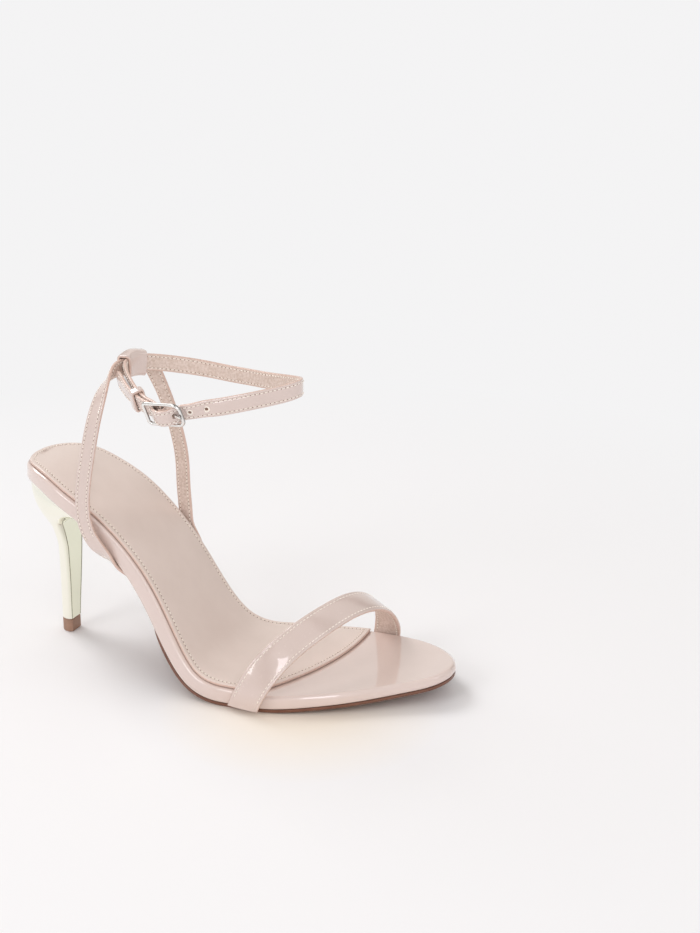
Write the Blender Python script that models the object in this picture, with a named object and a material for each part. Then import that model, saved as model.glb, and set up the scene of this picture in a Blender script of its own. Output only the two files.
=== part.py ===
"""Strappy heeled sandal for the right foot: a wrapped platform on a slim plated
heel, one strap over the toes, a sling up each side and a buckled ankle strap.

Metres, +Z up, +X toward the toe, +Y toward the inner side of the foot. The
origin is the centre of the heel tip's floor contact. Every size is named once
below, and the tables give lengths as shares of the named sizes.
"""
import math

import bmesh
import bpy
import numpy as np

# Driving sizes in metres
SOLE_LENGTH = 0.2175       # heel edge to toe edge, measured level
HEEL_REACH = 0.0168        # heel edge behind the heel tip's centre
HALF_BALL = 0.0390         # half the width across the ball
SEAT_RISE = 0.0840         # underside of the platform above the floor at its rear edge
SEAT_HALF = 0.0242         # half the width of the heel's top
TOE_ARCH = 0.0432          # top of the toe strap above the floor
ANKLE_RISE = 0.1436        # middle of the ankle strap above the floor, at its back
OUTSOLE = 0.0017           # outsole thickness
GAP = 0.0003               # air between neighbouring pieces
PLATFORM = 0.0076          # platform thickness at the waist
SOCK = 0.0015              # insole thickness at its edge
SOCK_INSET = 0.0014        # insole edge inside the platform's edge
SOCK_CROWN = 0.0007        # insole padding over the middle
SEAT_DIP = 0.0016          # hollow of the insole under the heel
TIP_HEIGHT = 0.0068
TOE_STRAP_THICK = 0.0018
STRAP_WIDTH = 0.0080       # ankle strap
STRAP_THICK = 0.0014       # ankle strap and slings
TIP_TAPER = 0.0065         # rounded end of the ankle strap's free end
TIP_SHARE = 0.30           # width left at its tip, share of the strap's
SLING_WIDTH = 0.0074
FRAME_LONG = 0.0202        # buckle frame along the strap, outside
FRAME_TALL = 0.0124
WIRE = 0.0016              # buckle wire thickness
SIDE_CORNERS = (0.0030, 0.0016)  # frame's corner radius ahead of the strap's bar and behind
FOLD_THICK = 0.0009        # ankle strap thinned where it folds round the centre bar
PRONG_WIDTH = 0.0016
PRONG_THICK = 0.0009
PRONG_LEAVES = -69         # degrees round the centre bar where the prong leaves its eye
PRONG_PAST = 0.0008        # its tip past the frame's front wire
PRONG_HOLE = 0.0025
HOLE = 0.0022              # punched hole in the ankle strap
HOLE_FIRST = 0.0110        # first spare hole ahead of the centre bar
HOLE_PITCH = 0.0072
SPARE_HOLES = 2
LOOP_LONG = 0.0116         # sling loop along the strap
LOOP_WALL = 0.0012
LOOP_OPENS = (0.0048, 0.0036)  # outward reach of its opening at the inner and outer end
LOOP_CROWN = 0.0010        # rise of its rounded top
LOOP_SAG = 0.0010          # drop of its opening's lower side at the inner end
KEEPER_LONG = 0.0036       # strap keeper along the strap
KEEPER_WALL = 0.0010
SOCK_FRONT = (0.1225, 0.1481)  # x of the insole's front edge, outer and inner ends
SOCK_BOW = 0.0078          # how far its middle bows forward
OUTSOLE_REAR = 0.0284      # x of the outsole's rear edge, just ahead of the heel
OUTSOLE_INSET = 0.0006     # outsole edge inside the platform's edge
WAIST_INSET = 0.0108       # and at its waist
WAIST_END = (0.0620, 0.0740)  # x where the waist ends on the outer and inner sides
WAIST_EASE = 0.0030        # length over which it widens

# Materials: name, colour, metallic, roughness
NUDE_PATENT = ("nude_patent", (0.62, 0.46, 0.40), 0.0, 0.14)
NUDE_SATIN = ("nude_satin", (0.60, 0.46, 0.39), 0.0, 0.42)
GOLD_PLATE = ("gold_plate", (0.83, 0.78, 0.66), 1.0, 0.12)
BROWN_SOLE = ("brown_sole", (0.20, 0.085, 0.05), 0.0, 0.45)
BROWN_TIP = ("brown_tip", (0.27, 0.14, 0.09), 0.0, 0.50)
SILVER_METAL = ("silver_metal", (0.80, 0.79, 0.77), 1.0, 0.16)

# Underside of the platform: share of sole length, share of seat rise
UNDERSIDE_REAR = [
    (0.00, 1.000), (0.08, 0.976), (0.14, 0.915), (0.20, 0.832), (0.27, 0.683),
    (0.335, 0.500), (0.405, 0.270), (0.465, 0.112), (0.52, 0.042), (0.57, 0.024),
]
UNDERSIDE_TOE = [
    (0.64, 0.024), (0.70, 0.031), (0.76, 0.046), (0.83, 0.065), (0.90, 0.087),
    (0.96, 0.112), (1.00, 0.136),
]
SEAT_SLOPE = -0.10         # underside's slope at the heel edge
SPRING_SLOPE = 0.14        # and at the toe

# Outline: share of sole length, outer and inner half widths as shares of half the ball
OUTLINE = [
    (0.02, 0.31, 0.43), (0.06, 0.49, 0.62), (0.12, 0.64, 0.71), (0.195, 0.69, 0.735),
    (0.275, 0.69, 0.72), (0.345, 0.75, 0.68), (0.425, 0.93, 0.63), (0.505, 1.07, 0.71),
    (0.585, 1.06, 0.87), (0.665, 1.01, 1.01), (0.745, 0.85, 1.08), (0.815, 0.65, 1.07),
    (0.885, 0.39, 0.99), (0.945, 0.15, 0.82), (0.98, 0.00, 0.62),
]
HEEL_MIDDLE = 0.04         # y of the heel edge, share of half the ball
TOE_MIDDLE = 0.30          # y of the toe edge

# Platform thickness: share of sole length, share of PLATFORM
THICKNESS = [(0.00, 0.96), (0.20, 1.00), (0.45, 1.03), (0.66, 0.88), (0.85, 0.69), (1.00, 0.56)]

# Heel: rise and x of its rear edge, rise and x of its front edge, half width, share of
# the seat's curve. Rises are shares of SEAT_RISE, the rest shares of SEAT_HALF.
HEEL_ROWS = [
    (0.085, -0.145, 0.085, 0.149, 0.186, 0.00), (0.179, -0.140, 0.179, 0.161, 0.207, 0.00),
    (0.298, -0.128, 0.298, 0.182, 0.236, 0.00), (0.417, -0.116, 0.417, 0.198, 0.269, 0.00),
    (0.536, -0.107, 0.536, 0.207, 0.306, 0.00), (0.601, -0.124, 0.595, 0.202, 0.335, 0.00),
    (0.667, -0.174, 0.655, 0.194, 0.388, 0.00), (0.720, -0.231, 0.702, 0.202, 0.467, 0.00),
    (0.774, -0.322, 0.740, 0.244, 0.579, 0.00), (0.833, -0.421, 0.776, 0.355, 0.719, 0.10),
    (0.893, -0.529, 0.805, 0.545, 0.839, 0.32), (0.946, -0.603, 0.824, 0.810, 0.926, 0.66),
    (0.976, -0.636, 0.829, 1.041, 0.971, 1.00),
]
HEEL_TOP = (-0.648, 1.100, 1.000)  # its top edge: rear x, front x, half width
HEEL_SHIFT = 0.0012                # the seat lies this far toward the inner side

# Toe strap from the outer side to the inner: across as a share of HALF_BALL, then x and
# rise of its rear and front edges as shares of SOLE_LENGTH and TOE_ARCH
TOE_STRAP = [
    (-1.087, 0.510, 0.060, 0.579, 0.051), (-1.087, 0.521, 0.199, 0.589, 0.167),
    (-1.051, 0.536, 0.370, 0.601, 0.292), (-0.944, 0.557, 0.569, 0.617, 0.431),
    (-0.733, 0.588, 0.755, 0.643, 0.597), (-0.467, 0.617, 0.884, 0.672, 0.722),
    (-0.133, 0.649, 0.977, 0.701, 0.810), (0.221, 0.676, 1.000, 0.728, 0.833),
    (0.538, 0.692, 0.907, 0.745, 0.745), (0.821, 0.696, 0.708, 0.751, 0.560),
    (1.015, 0.691, 0.472, 0.750, 0.361), (1.113, 0.683, 0.264, 0.745, 0.218),
    (1.126, 0.679, 0.125, 0.742, 0.116),
]

# Sling from the outer side up, round the back and down the inner side: x, y, z as shares
# of SOLE_LENGTH, HALF_BALL and ANKLE_RISE, then the direction its face looks
SLING = [
    (0.157, -0.776, 0.462, -0.03, -1.00, -0.03), (0.1465, -0.789, 0.503, 0.00, -1.00, -0.02),
    (0.143, -0.803, 0.560, 0.00, -1.00, 0.00), (0.147, -0.803, 0.641, 0.00, -1.00, 0.05),
    (0.156, -0.762, 0.745, 0.00, -1.00, 0.08), (0.165, -0.685, 0.850, -0.08, -1.00, 0.12),
    (0.171, -0.574, 0.923, -0.30, -0.93, 0.12), (0.174, -0.431, 0.971, -0.62, -0.75, 0.08),
    (0.175, -0.267, 0.993, -0.88, -0.42, 0.03), (0.1775, -0.077, 0.997, -1.00, 0.02, 0.00),
    (0.1845, 0.110, 1.000, -0.93, 0.36, 0.00), (0.195, 0.282, 0.989, -0.66, 0.74, 0.05),
    (0.205, 0.410, 0.937, -0.28, 0.95, 0.12), (0.219, 0.503, 0.853, -0.05, 1.00, 0.12),
    (0.231, 0.605, 0.745, 0.00, 1.00, 0.10), (0.235, 0.703, 0.627, 0.00, 1.00, 0.06),
    (0.232, 0.759, 0.515, 0.00, 1.00, 0.00), (0.235, 0.765, 0.432, 0.00, 1.00, 0.00),
    (0.240, 0.757, 0.380, 0.00, 1.00, -0.05),
]
# Its ends turn in under the platform: x and y as shares of SOLE_LENGTH and HALF_BALL,
# lift off the underside as a share of STRAP_THICK, turn of the face from outward to down
SLING_TUCK_OUTER = [
    (0.226, -0.562, -0.72, 1.00), (0.2175, -0.600, -0.84, 0.94), (0.208, -0.640, -1.25, 0.73),
    (0.197, -0.684, -0.96, 0.47), (0.184, -0.722, -0.45, 0.24), (0.170, -0.765, 0.24, 0.09),
]
SLING_TUCK_INNER = [
    (0.2575, 0.742, 1.15, 0.16), (0.269, 0.682, -0.54, 0.47), (0.2795, 0.618, -1.21, 0.73),
    (0.289, 0.569, -0.84, 0.94), (0.297, 0.526, -0.72, 1.00),
]

# Ankle strap from the back round the outer side: x, y, z as shares of the same sizes
RING = [
    (0.187, -0.077, 0.997), (0.203, -0.282, 0.989), (0.246, -0.523, 0.967),
    (0.299, -0.733, 0.945), (0.359, -0.851, 0.944), (0.419, -0.810, 0.956),
    (0.465, -0.718, 0.965), (0.501, -0.610, 0.975), (0.534, -0.487, 0.985),
    (0.559, -0.364, 0.992), (0.581, -0.231, 0.999), (0.591, -0.103, 1.003),
    (0.581, 0.062, 0.997), (0.557, 0.226, 0.985), (0.517, 0.395, 0.971),
    (0.465, 0.528, 0.960), (0.414, 0.621, 0.955), (0.359, 0.672, 0.954),
    (0.308, 0.641, 0.962), (0.259, 0.492, 0.977), (0.218, 0.277, 0.993),
    (0.194, 0.087, 1.000),
]
# Shares of the ankle strap's round, from the back
BUCKLE_AT = 0.226
KEEPER_AT = 0.140
TAIL_AT = 0.040
LOOP_AT = -0.0215
BUCKLE_LEAN = 22           # degrees that the strap's top edge leans out at the buckle
LEAN_CORE = 0.010          # full lean this far each way along the strap
LEAN_REACH = (0.045, 0.024)  # none beyond this, behind and ahead of the buckle

# Spacing of rows and steps
END_CROWDING = 0.8         # share of the sole's rows that crowd toward a rounded end
ROUND_BACK = 20            # steps round the back of a heel section
FLAT_FRONT = 6             # steps across its flat front
DRAWN_IN = 0.36            # part of a heel section's side that draws in toward the front

SPAN = np.array([SOLE_LENGTH, HALF_BALL, ANKLE_RISE])


def clear_scene():
    for ob in list(bpy.data.objects):
        bpy.data.objects.remove(ob, do_unlink=True)


def material(spec):
    name, colour, metallic, roughness = spec
    mat = bpy.data.materials.get(name)
    if mat is None:
        mat = bpy.data.materials.new(name)
        mat.use_nodes = True
        shader = mat.node_tree.nodes["Principled BSDF"]
        shader.inputs["Base Color"].default_value = (*colour, 1.0)
        shader.inputs["Metallic"].default_value = metallic
        shader.inputs["Roughness"].default_value = roughness
    return mat


# Curves


def spline(xs, ys, ends=None, closed=False):
    """A cubic spline through the rows of ys; ends gives the slopes at both ends."""
    xs = np.asarray(xs, float)
    ys = np.asarray(ys, float)
    flat = ys.ndim == 1
    if flat:
        ys = ys[:, None]
    n = len(xs)
    h = np.diff(xs)
    rise = np.diff(ys, axis=0) / h[:, None]
    a = np.zeros((n, n))
    b = np.zeros_like(ys)
    for i in range(1, n - 1):
        a[i, i - 1:i + 2] = h[i - 1], 2 * (h[i - 1] + h[i]), h[i]
        b[i] = 6 * (rise[i] - rise[i - 1])
    if closed:
        a[0, 0], a[0, 1], a[0, n - 2] = 2 * (h[0] + h[-1]), h[0], h[-1]
        b[0] = 6 * (rise[0] - rise[-1])
        a[n - 1, n - 1], a[n - 1, 0] = 1, -1
    elif ends is None:
        a[0, 0] = a[n - 1, n - 1] = 1
    else:
        a[0, 0], a[0, 1] = 2 * h[0], h[0]
        b[0] = 6 * (rise[0] - ends[0])
        a[n - 1, n - 1], a[n - 1, n - 2] = 2 * h[-1], h[-1]
        b[n - 1] = 6 * (ends[1] - rise[-1])
    m = np.linalg.solve(a, b)

    def at(x):
        x = np.asarray(x, float)
        if closed:
            x = xs[0] + np.mod(x - xs[0], xs[-1] - xs[0])
        i = np.clip(np.searchsorted(xs, x, side="right") - 1, 0, n - 2)
        hi = h[i][..., None]
        u = (x - xs[i])[..., None]
        w = hi - u
        bend = (m[i] * w ** 3 + m[i + 1] * u ** 3) / (6 * hi)
        line = (ys[i] / hi - m[i] * hi / 6) * w + (ys[i + 1] / hi - m[i + 1] * hi / 6) * u
        return (bend + line)[..., 0] if flat else bend + line
    return at


def curve(points, closed=False):
    """A smooth curve through points, as a function of the share of its length."""
    pts = np.asarray(points, float)
    if closed:
        pts = np.vstack([pts, pts[:1]])
    step = np.linalg.norm(np.diff(pts[:, :3], axis=0), axis=1)
    knots = np.concatenate([[0.0], np.cumsum(step)])
    raw = spline(knots, pts, closed=closed)
    dense = np.linspace(0, knots[-1], 1201)
    run = np.linalg.norm(np.diff(raw(dense)[:, :3], axis=0), axis=1)
    length = np.concatenate([[0.0], np.cumsum(run)])

    def even(share):
        share = np.mod(share, 1.0) if closed else np.clip(share, 0, 1)
        return raw(np.interp(share * length[-1], length, dense))
    even.length = float(length[-1])
    return even


def unit(v):
    return v / np.maximum(np.linalg.norm(v, axis=-1, keepdims=True), 1e-12)


# The sole's shape


def level_x(share):
    return np.asarray(share, float) * SOLE_LENGTH - HEEL_REACH


def _profile(rows, ends):
    rows = np.array(rows)
    return spline(level_x(rows[:, 0]), rows[:, 1] * SEAT_RISE, ends=ends)


_rear_z = _profile(UNDERSIDE_REAR, (SEAT_SLOPE, 0.0))
_toe_z = _profile(UNDERSIDE_TOE, (0.0, SPRING_SLOPE))
TREAD_Z = OUTSOLE + GAP            # the platform's underside over the level tread
TREAD_REAR = level_x(UNDERSIDE_REAR[-1][0])
TREAD_FRONT = level_x(UNDERSIDE_TOE[0][0])
TREAD_LIFT = TREAD_Z - UNDERSIDE_TOE[0][1] * SEAT_RISE


def underside(x):
    """Height of the platform's underside at x."""
    x = np.asarray(x, float)
    z = np.where(x < TREAD_REAR, _rear_z(x), _toe_z(x)) + TREAD_LIFT
    return np.where((x >= TREAD_REAR) & (x <= TREAD_FRONT), TREAD_Z, z)


def slope(x):
    return (underside(x + 1e-5) - underside(x - 1e-5)) / 2e-5


def on_sole(x, y, lift):
    """The point lifted square to the underside from (x, y)."""
    g = slope(x)
    c = 1 / np.sqrt(1 + g * g)
    return np.stack([x - lift * g * c, y + 0 * x, underside(x) + lift * c], axis=-1)


def seat_height(x):
    """Height of the heel's top, a gap below the platform."""
    return underside(x) - GAP * np.sqrt(1 + slope(x) ** 2)


_thickness = spline(level_x([r[0] for r in THICKNESS]), [r[1] * PLATFORM for r in THICKNESS])


def thickness(x):
    return _thickness(np.clip(x, level_x(0), level_x(1)))


def outline(n=720):
    """Plan points of the platform's edge, and the way out of each."""
    rows = np.array(OUTLINE)
    x = level_x(rows[:, 0])
    outer = np.stack([x, -rows[:, 1] * HALF_BALL], axis=1)
    inner = np.stack([x, rows[:, 2] * HALF_BALL], axis=1)[::-1]
    heel = [(level_x(0.0), HEEL_MIDDLE * HALF_BALL)]
    toe = [(level_x(1.0), TOE_MIDDLE * HALF_BALL)]
    pts = np.vstack([heel, outer, toe, inner])
    edge = curve(np.hstack([pts, np.zeros((len(pts), 1))]), closed=True)
    pts = edge(np.arange(n) / n)[:, :2]
    ahead = np.roll(pts, -1, axis=0) - np.roll(pts, 1, axis=0)
    return pts, unit(np.stack([ahead[:, 1], -ahead[:, 0]], axis=1))


def inset_sides(inset):
    """Outer and inner sides, heel to toe, of the outline moved in by inset(x, y)."""
    pts, out = outline()
    loop = pts - out * np.reshape(inset(pts[:, 0], pts[:, 1]), (-1, 1))
    n = len(loop)
    rear, front = np.argmin(loop[:, 0]), np.argmax(loop[:, 0])
    one = loop[np.arange(rear, rear + np.mod(front - rear, n) + 1) % n]
    two = loop[np.arange(front, front + np.mod(rear - front, n) + 1) % n][::-1]
    return (one, two) if one[:, 1].mean() < two[:, 1].mean() else (two, one)


# Mesh helpers


def add_object(name, verts, faces, spec):
    mesh = bpy.data.meshes.new(name)
    mesh.from_pydata([tuple(map(float, v)) for v in verts], [], faces)
    mesh.materials.append(material(spec))
    bm = bmesh.new()
    bm.from_mesh(mesh)
    bmesh.ops.remove_doubles(bm, verts=bm.verts, dist=1e-6)
    bmesh.ops.recalc_face_normals(bm, faces=bm.faces)
    if bm.calc_volume(signed=True) < 0:
        bmesh.ops.reverse_faces(bm, faces=bm.faces)
    bm.to_mesh(mesh)
    bm.free()
    mesh.shade_smooth()
    mesh.set_sharp_from_angle(angle=math.radians(38))
    ob = bpy.data.objects.new(name, mesh)
    bpy.context.scene.collection.objects.link(ob)
    return ob


def skin_faces(rings, n, closed):
    """Quads between rings of n points each."""
    faces = []
    for i in range(rings if closed else rings - 1):
        a, b = i * n, ((i + 1) % rings) * n
        for j in range(n):
            k = (j + 1) % n
            faces.append((a + j, a + k, b + k, b + j))
    return faces


def loft(name, rings, spec, closed=False):
    """Skin rings of equal count; the ends are capped unless the loft is closed."""
    n = len(rings[0])
    faces = skin_faces(len(rings), n, closed)
    if not closed:
        end = (len(rings) - 1) * n
        faces.append(tuple(range(n)))
        faces.append(tuple(range(end, end + n)))
    return add_object(name, [p for ring in rings for p in ring], faces, spec)


def sleeve(name, outer, inner, spec):
    """A tube with a wall: rings round its outside and its inside, station by station."""
    n = len(outer[0])
    stations = len(outer)
    verts = [p for ring in list(outer) + list(inner) for p in ring]
    inside = stations * n
    faces = skin_faces(stations, n, False)
    faces += [tuple(inside + v for v in f) for f in skin_faces(stations, n, False)]
    for i in (0, stations - 1):
        for j in range(n):
            k = (j + 1) % n
            a = i * n
            faces.append((a + j, a + k, inside + a + k, inside + a + j))
    return add_object(name, verts, faces, spec)


def cut(target, cutter):
    """Take the cutter's shape out of the target."""
    cutter.hide_render = True
    cutter.display_type = "WIRE"
    mod = target.modifiers.new("cut_" + cutter.name, "BOOLEAN")
    mod.operation = "DIFFERENCE"
    mod.object = cutter


def slab(name, sides, rings, crown, bow, spec, across):
    """A plate that follows the sole.

    sides(inset) gives the plan points of its rows on the outer and the inner side.
    rings holds (inset, lift function) from the lower face's edge, round the side, to
    the upper face's edge. crown(x, across, row) lifts the upper face, and bow(row)
    moves a row's middle forward. across is the number of strips in both faces.
    """
    plans = [sides(inset) for inset, _ in rings]
    n = len(plans[0][0])
    verts = []
    index = {}

    def put(key, xy, lift):
        index[key] = len(verts)
        verts.append(on_sole(np.array(xy[0]), np.array(xy[1]), lift))

    last = len(rings) - 1
    for r, (_, lift) in enumerate(rings):
        for i in range(n):
            o, e = plans[r][0][i], plans[r][1][i]
            whole = r in (0, last) or i in (0, n - 1)
            for k in (range(across + 1) if whole else (0, across)):
                b = k / across
                xy = o + (e - o) * b + np.array([bow(i / (n - 1)) * 4 * b * (1 - b), 0.0])
                extra = crown(xy[0], 2 * b - 1, i / (n - 1)) if r == last else 0.0
                put((r, i, k), xy, lift(xy[0]) + extra)
    faces = []
    for r in range(last):
        for i in range(n - 1):
            for k in (0, across):
                faces.append((index[r, i, k], index[r, i + 1, k],
                              index[r + 1, i + 1, k], index[r + 1, i, k]))
    for r in (0, last):
        for i in range(n - 1):
            for k in range(across):
                faces.append((index[r, i, k], index[r, i, k + 1],
                              index[r, i + 1, k + 1], index[r, i + 1, k]))
    for i in (0, n - 1):
        for r in range(last):
            for k in range(across):
                faces.append((index[r, i, k], index[r, i, k + 1],
                              index[r + 1, i, k + 1], index[r + 1, i, k]))
    return add_object(name, verts, faces, spec)


def side_rows(shares, inset_of, rear=None, front=None):
    """Rows at shares of the length between the rear and front x of each side."""
    def sides(inset):
        pair = []
        for which, line in enumerate(inset_sides(lambda x, y: inset_of(x, y) + inset)):
            start = line[0, 0] if rear is None else rear + inset
            end = line[-1, 0] if front is None else front[which] - inset
            x = start + (end - start) * np.asarray(shares)
            order = np.argsort(line[:, 0])
            pair.append(np.stack([x, np.interp(x, line[order, 0], line[order, 1])], axis=1))
        return pair
    return sides


def level(_):
    return 0.0


def no_crown(*_):
    return 0.0


# The sole


def edge_ease(x):
    """Rounding of the platform's upper edge, fuller at the toe."""
    toe = np.clip((x - level_x(0.60)) / (0.40 * SOLE_LENGTH), 0, 1)
    return 0.0015 + 0.0008 * toe


def build_insole_board():
    t = np.linspace(0, 1, 50)
    shares = (1 - np.cos(math.pi * t)) / 2
    shares[0], shares[-1] = 0.0004, 0.9996
    rings = [
        (0.0040, lambda x: 0.0),
        (0.0009, lambda x: 0.0),
        (0.0003, lambda x: 0.0004),
        (0.0000, lambda x: 0.0013),
        (0.0000, lambda x: thickness(x) - edge_ease(x)),
        (0.00025, lambda x: thickness(x) - 0.50 * edge_ease(x)),
        (0.0008, lambda x: thickness(x) - 0.14 * edge_ease(x)),
        (0.0017, lambda x: thickness(x)),
    ]
    slab("insole_board", side_rows(shares, lambda x, y: 0 * x), rings, no_crown, level,
         NUDE_PATENT, across=2)


def sock_pad(x, across, row):
    """Padding over the middle, sinking to a hollow under the heel."""
    pad = SOCK_CROWN * np.clip((1 - row) / 0.12, 0, 1)
    dip = SEAT_DIP * np.clip((0.34 - row) / 0.34, 0, 1)
    return (pad - dip) * (1 - across ** 2)


def build_sock():
    t = np.linspace(0, 1, 42)
    shares = END_CROWDING * (1 - np.cos(math.pi * t / 2)) + (1 - END_CROWDING) * t ** 2
    shares[0] = 0.0006

    def under(x):
        return thickness(x) + GAP

    def over(x):
        return under(x) + SOCK

    rings = [
        (0.0030, under),
        (0.0003, under),
        (0.0000, lambda x: under(x) + 0.0004),
        (0.0000, lambda x: over(x) - 0.0006),
        (0.0003, lambda x: over(x) - 0.0002),
        (0.0010, over),
    ]
    sides = side_rows(shares, lambda x, y: SOCK_INSET + 0 * x, front=SOCK_FRONT)
    slab("sock", sides, rings, sock_pad, lambda row: SOCK_BOW * max(0.0, 2 * row - 1) ** 2,
         NUDE_SATIN, across=6)


def outsole_inset(x, y):
    """The outsole runs in at the waist, where the slings come round."""
    end = np.where(y > 0, WAIST_END[1], WAIST_END[0])
    return OUTSOLE_INSET + (WAIST_INSET - OUTSOLE_INSET) / (1 + np.exp((x - end) / WAIST_EASE))


def tread_rows(shares):
    """One row at each end of the level tread and none between, so that it is one flat."""
    span = level_x(1) - OUTSOLE_REAR
    ends = [(x - OUTSOLE_REAR) / span for x in (TREAD_REAR + 0.0004, TREAD_FRONT - 0.0004)]
    free = 0.0025 / span
    away = shares[(shares < ends[0] - free) | (shares > ends[1] + free)]
    return np.sort(np.concatenate([away, ends]))


def build_outsole():
    t = np.linspace(0, 1, 42)
    shares = END_CROWDING * np.sin(math.pi * t / 2) + (1 - END_CROWDING) * (1 - (1 - t) ** 2)
    shares[-1] = 0.9994
    shares = tread_rows(shares)
    rings = [
        (0.0030, lambda x: -GAP - OUTSOLE),
        (0.0004, lambda x: -GAP - OUTSOLE),
        (0.0000, lambda x: -GAP - OUTSOLE + 0.0004),
        (0.0000, lambda x: -GAP),
        (0.0030, lambda x: -GAP),
    ]
    slab("outsole", side_rows(shares, outsole_inset, rear=OUTSOLE_REAR), rings, no_crown,
         level, BROWN_SOLE, across=2)


# The heel


def heel_section(rear, front, half, seat=0.0):
    """Round at the back, widest ahead of its middle, then drawn in to a flat front."""
    widest = front - (front - rear) * (0.30 - 0.20 * seat)
    flat = half * (0.80 + 0.14 * seat)
    pts = []
    for a in np.linspace(0.0, math.pi, ROUND_BACK + 1):
        side = -math.copysign(1.0, math.cos(a))
        if math.sin(a) < DRAWN_IN:
            u = math.sin(a) / DRAWN_IN
            x = front - (front - widest) * u
            y = side * (flat + (half - flat) * math.sin(u * math.pi / 2))
        else:
            v = (math.sin(a) - DRAWN_IN) / (1 - DRAWN_IN)
            x = widest - (widest - rear) * math.sin(v * math.pi / 2)
            y = side * half * math.cos(v * math.pi / 2) ** 0.90
        pts.append((x, y))
    for k in range(1, FLAT_FRONT):
        pts.append((front, flat * (1 - 2 * k / FLAT_FRONT)))
    return np.array(pts)


def heel_ring(rear, rear_z, front, front_z, half, seat, drop):
    plan = heel_section(rear, front, half, seat)
    plan[:, 1] += HEEL_SHIFT * seat
    flat = rear_z + (front_z - rear_z) * (plan[:, 0] - rear) / (front - rear)
    z = flat * (1 - seat) + (seat_height(plan[:, 0]) - drop) * seat
    return np.column_stack([plan, z])


def build_heel():
    rows = np.array(HEEL_ROWS)
    at = spline(np.arange(len(rows)), rows)
    rings = []
    for s in np.linspace(0, len(rows) - 1, 2 * len(rows) - 1):
        rear_z, rear, front_z, front, half, seat = at(s)
        seat = float(np.clip(seat, 0, 1))
        rings.append(heel_ring(rear * SEAT_HALF, rear_z * SEAT_RISE, front * SEAT_HALF,
                               front_z * SEAT_RISE, half * SEAT_HALF, seat,
                               (1 - rear_z) * SEAT_RISE))
    rear, front, half = (v * SEAT_HALF for v in HEEL_TOP)
    rings.append(heel_ring(rear, 0, front, 0, half, 1.0, 0.0005))
    rings.append(heel_ring(rear + 0.0004, 0, front - 0.0003, 0, half - 0.0005, 1.0, 0.0))
    n = len(rings[0])
    verts = [p for ring in rings for p in ring]
    faces = skin_faces(len(rings), n, False)
    faces.append(tuple(range(n)))
    add_seat_cap(verts, faces, (len(rings) - 1) * n, n)
    add_object("heel", verts, faces, GOLD_PLATE)


def add_seat_cap(verts, faces, start, n, across=6):
    """Close the heel's top row by row, so that it follows the seat."""
    rows = []
    for j in range(ROUND_BACK // 2):
        left, right = start + j, start + ROUND_BACK - j
        row = [left]
        for k in range(1, across):
            p = verts[left] + (verts[right] - verts[left]) * k / across
            row.append(len(verts))
            verts.append(np.array([p[0], p[1], float(seat_height(p[0]))]))
        rows.append(row + [right])
    for one, two in zip(rows[:-1], rows[1:]):
        for k in range(across):
            faces.append((one[k], one[k + 1], two[k + 1], two[k]))
    back = start + ROUND_BACK // 2
    for k in range(across):
        faces.append((rows[-1][k], rows[-1][k + 1], back))
    front = [start + k for k in range(ROUND_BACK + 1, n)]
    faces.append(tuple(rows[0] + front))


def build_heel_tip():
    rear, front, half = (HEEL_ROWS[0][k] * SEAT_HALF for k in (1, 3, 4))
    rings = []
    for z, grow in ((0.0, -0.0004), (0.0004, 0.0), (TIP_HEIGHT, 0.0)):
        plan = heel_section(rear - grow, front + grow, half + grow)
        rings.append(np.column_stack([plan, np.full(len(plan), z)]))
    loft("heel_tip", rings, BROWN_TIP)


# Straps


def band_section(width, thick):
    """Points of a strap's section with eased edges, as (across, out) pairs."""
    w, t = width / 2, thick / 2
    c = min(0.00045, 0.35 * thick)
    return [(-w, t - c), (-w + c, t), (0.0, t), (w - c, t), (w, t - c),
            (w, -t + c), (w - c, -t), (0.0, -t), (-w + c, -t), (-w, -t + c)]


def ribbon(name, pts, looks, widths, thicks, spec, wide=None):
    """A strap along pts; looks says which way its face looks at each point.

    Its ends and sections lie square to its run unless wide gives their direction.
    """
    along = unit(np.gradient(pts, axis=0))
    if wide is None:
        face = unit(looks - along * np.sum(looks * along, axis=1, keepdims=True))
        wide = unit(np.cross(along, face))
    else:
        face = unit(np.cross(along, wide))
        face *= np.sign(np.sum(face * looks, axis=1, keepdims=True))
    rings = []
    for p, w, f, width, thick in zip(pts, wide, face, widths, thicks):
        rings.append([p + w * a + f * b for a, b in band_section(width, thick)])
    return loft(name, rings, spec)


def build_toe_strap():
    rows = np.array(TOE_STRAP)
    across = rows[:, 0] * HALF_BALL
    edges = [np.column_stack([rows[:, k] * SOLE_LENGTH, across, rows[:, k + 1] * TOE_ARCH])
             for k in (1, 3)]
    middle = (edges[0] + edges[1]) / 2
    knots = np.concatenate([[0], np.cumsum(np.linalg.norm(np.diff(middle, axis=0), axis=1))])
    both = spline(knots, np.hstack(edges))(np.linspace(0, knots[-1], 44))
    rear, front = both[:, :3], both[:, 3:]
    pts = (rear + front) / 2
    along = np.gradient(pts, axis=0)
    looks = np.cross(along, front - rear)
    widths = np.linalg.norm(front - rear, axis=1)
    ribbon("toe_strap", pts, looks, widths, np.full(len(pts), TOE_STRAP_THICK), NUDE_PATENT,
           wide=unit(front - rear))


def tucked(rows):
    """Sling points beside the platform's lower edge, where its face turns down."""
    out = []
    for x, y, lift, turn in rows:
        x, y = x * SOLE_LENGTH, y * HALF_BALL
        angle = turn * math.pi / 2
        down = unit(np.array([float(slope(x)), 0.0, -1.0])) * math.sin(angle)
        p = on_sole(np.array(x), np.array(y), lift * STRAP_THICK)
        out.append([*p, down[0], math.copysign(math.cos(angle), y), down[2]])
    return out


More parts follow.
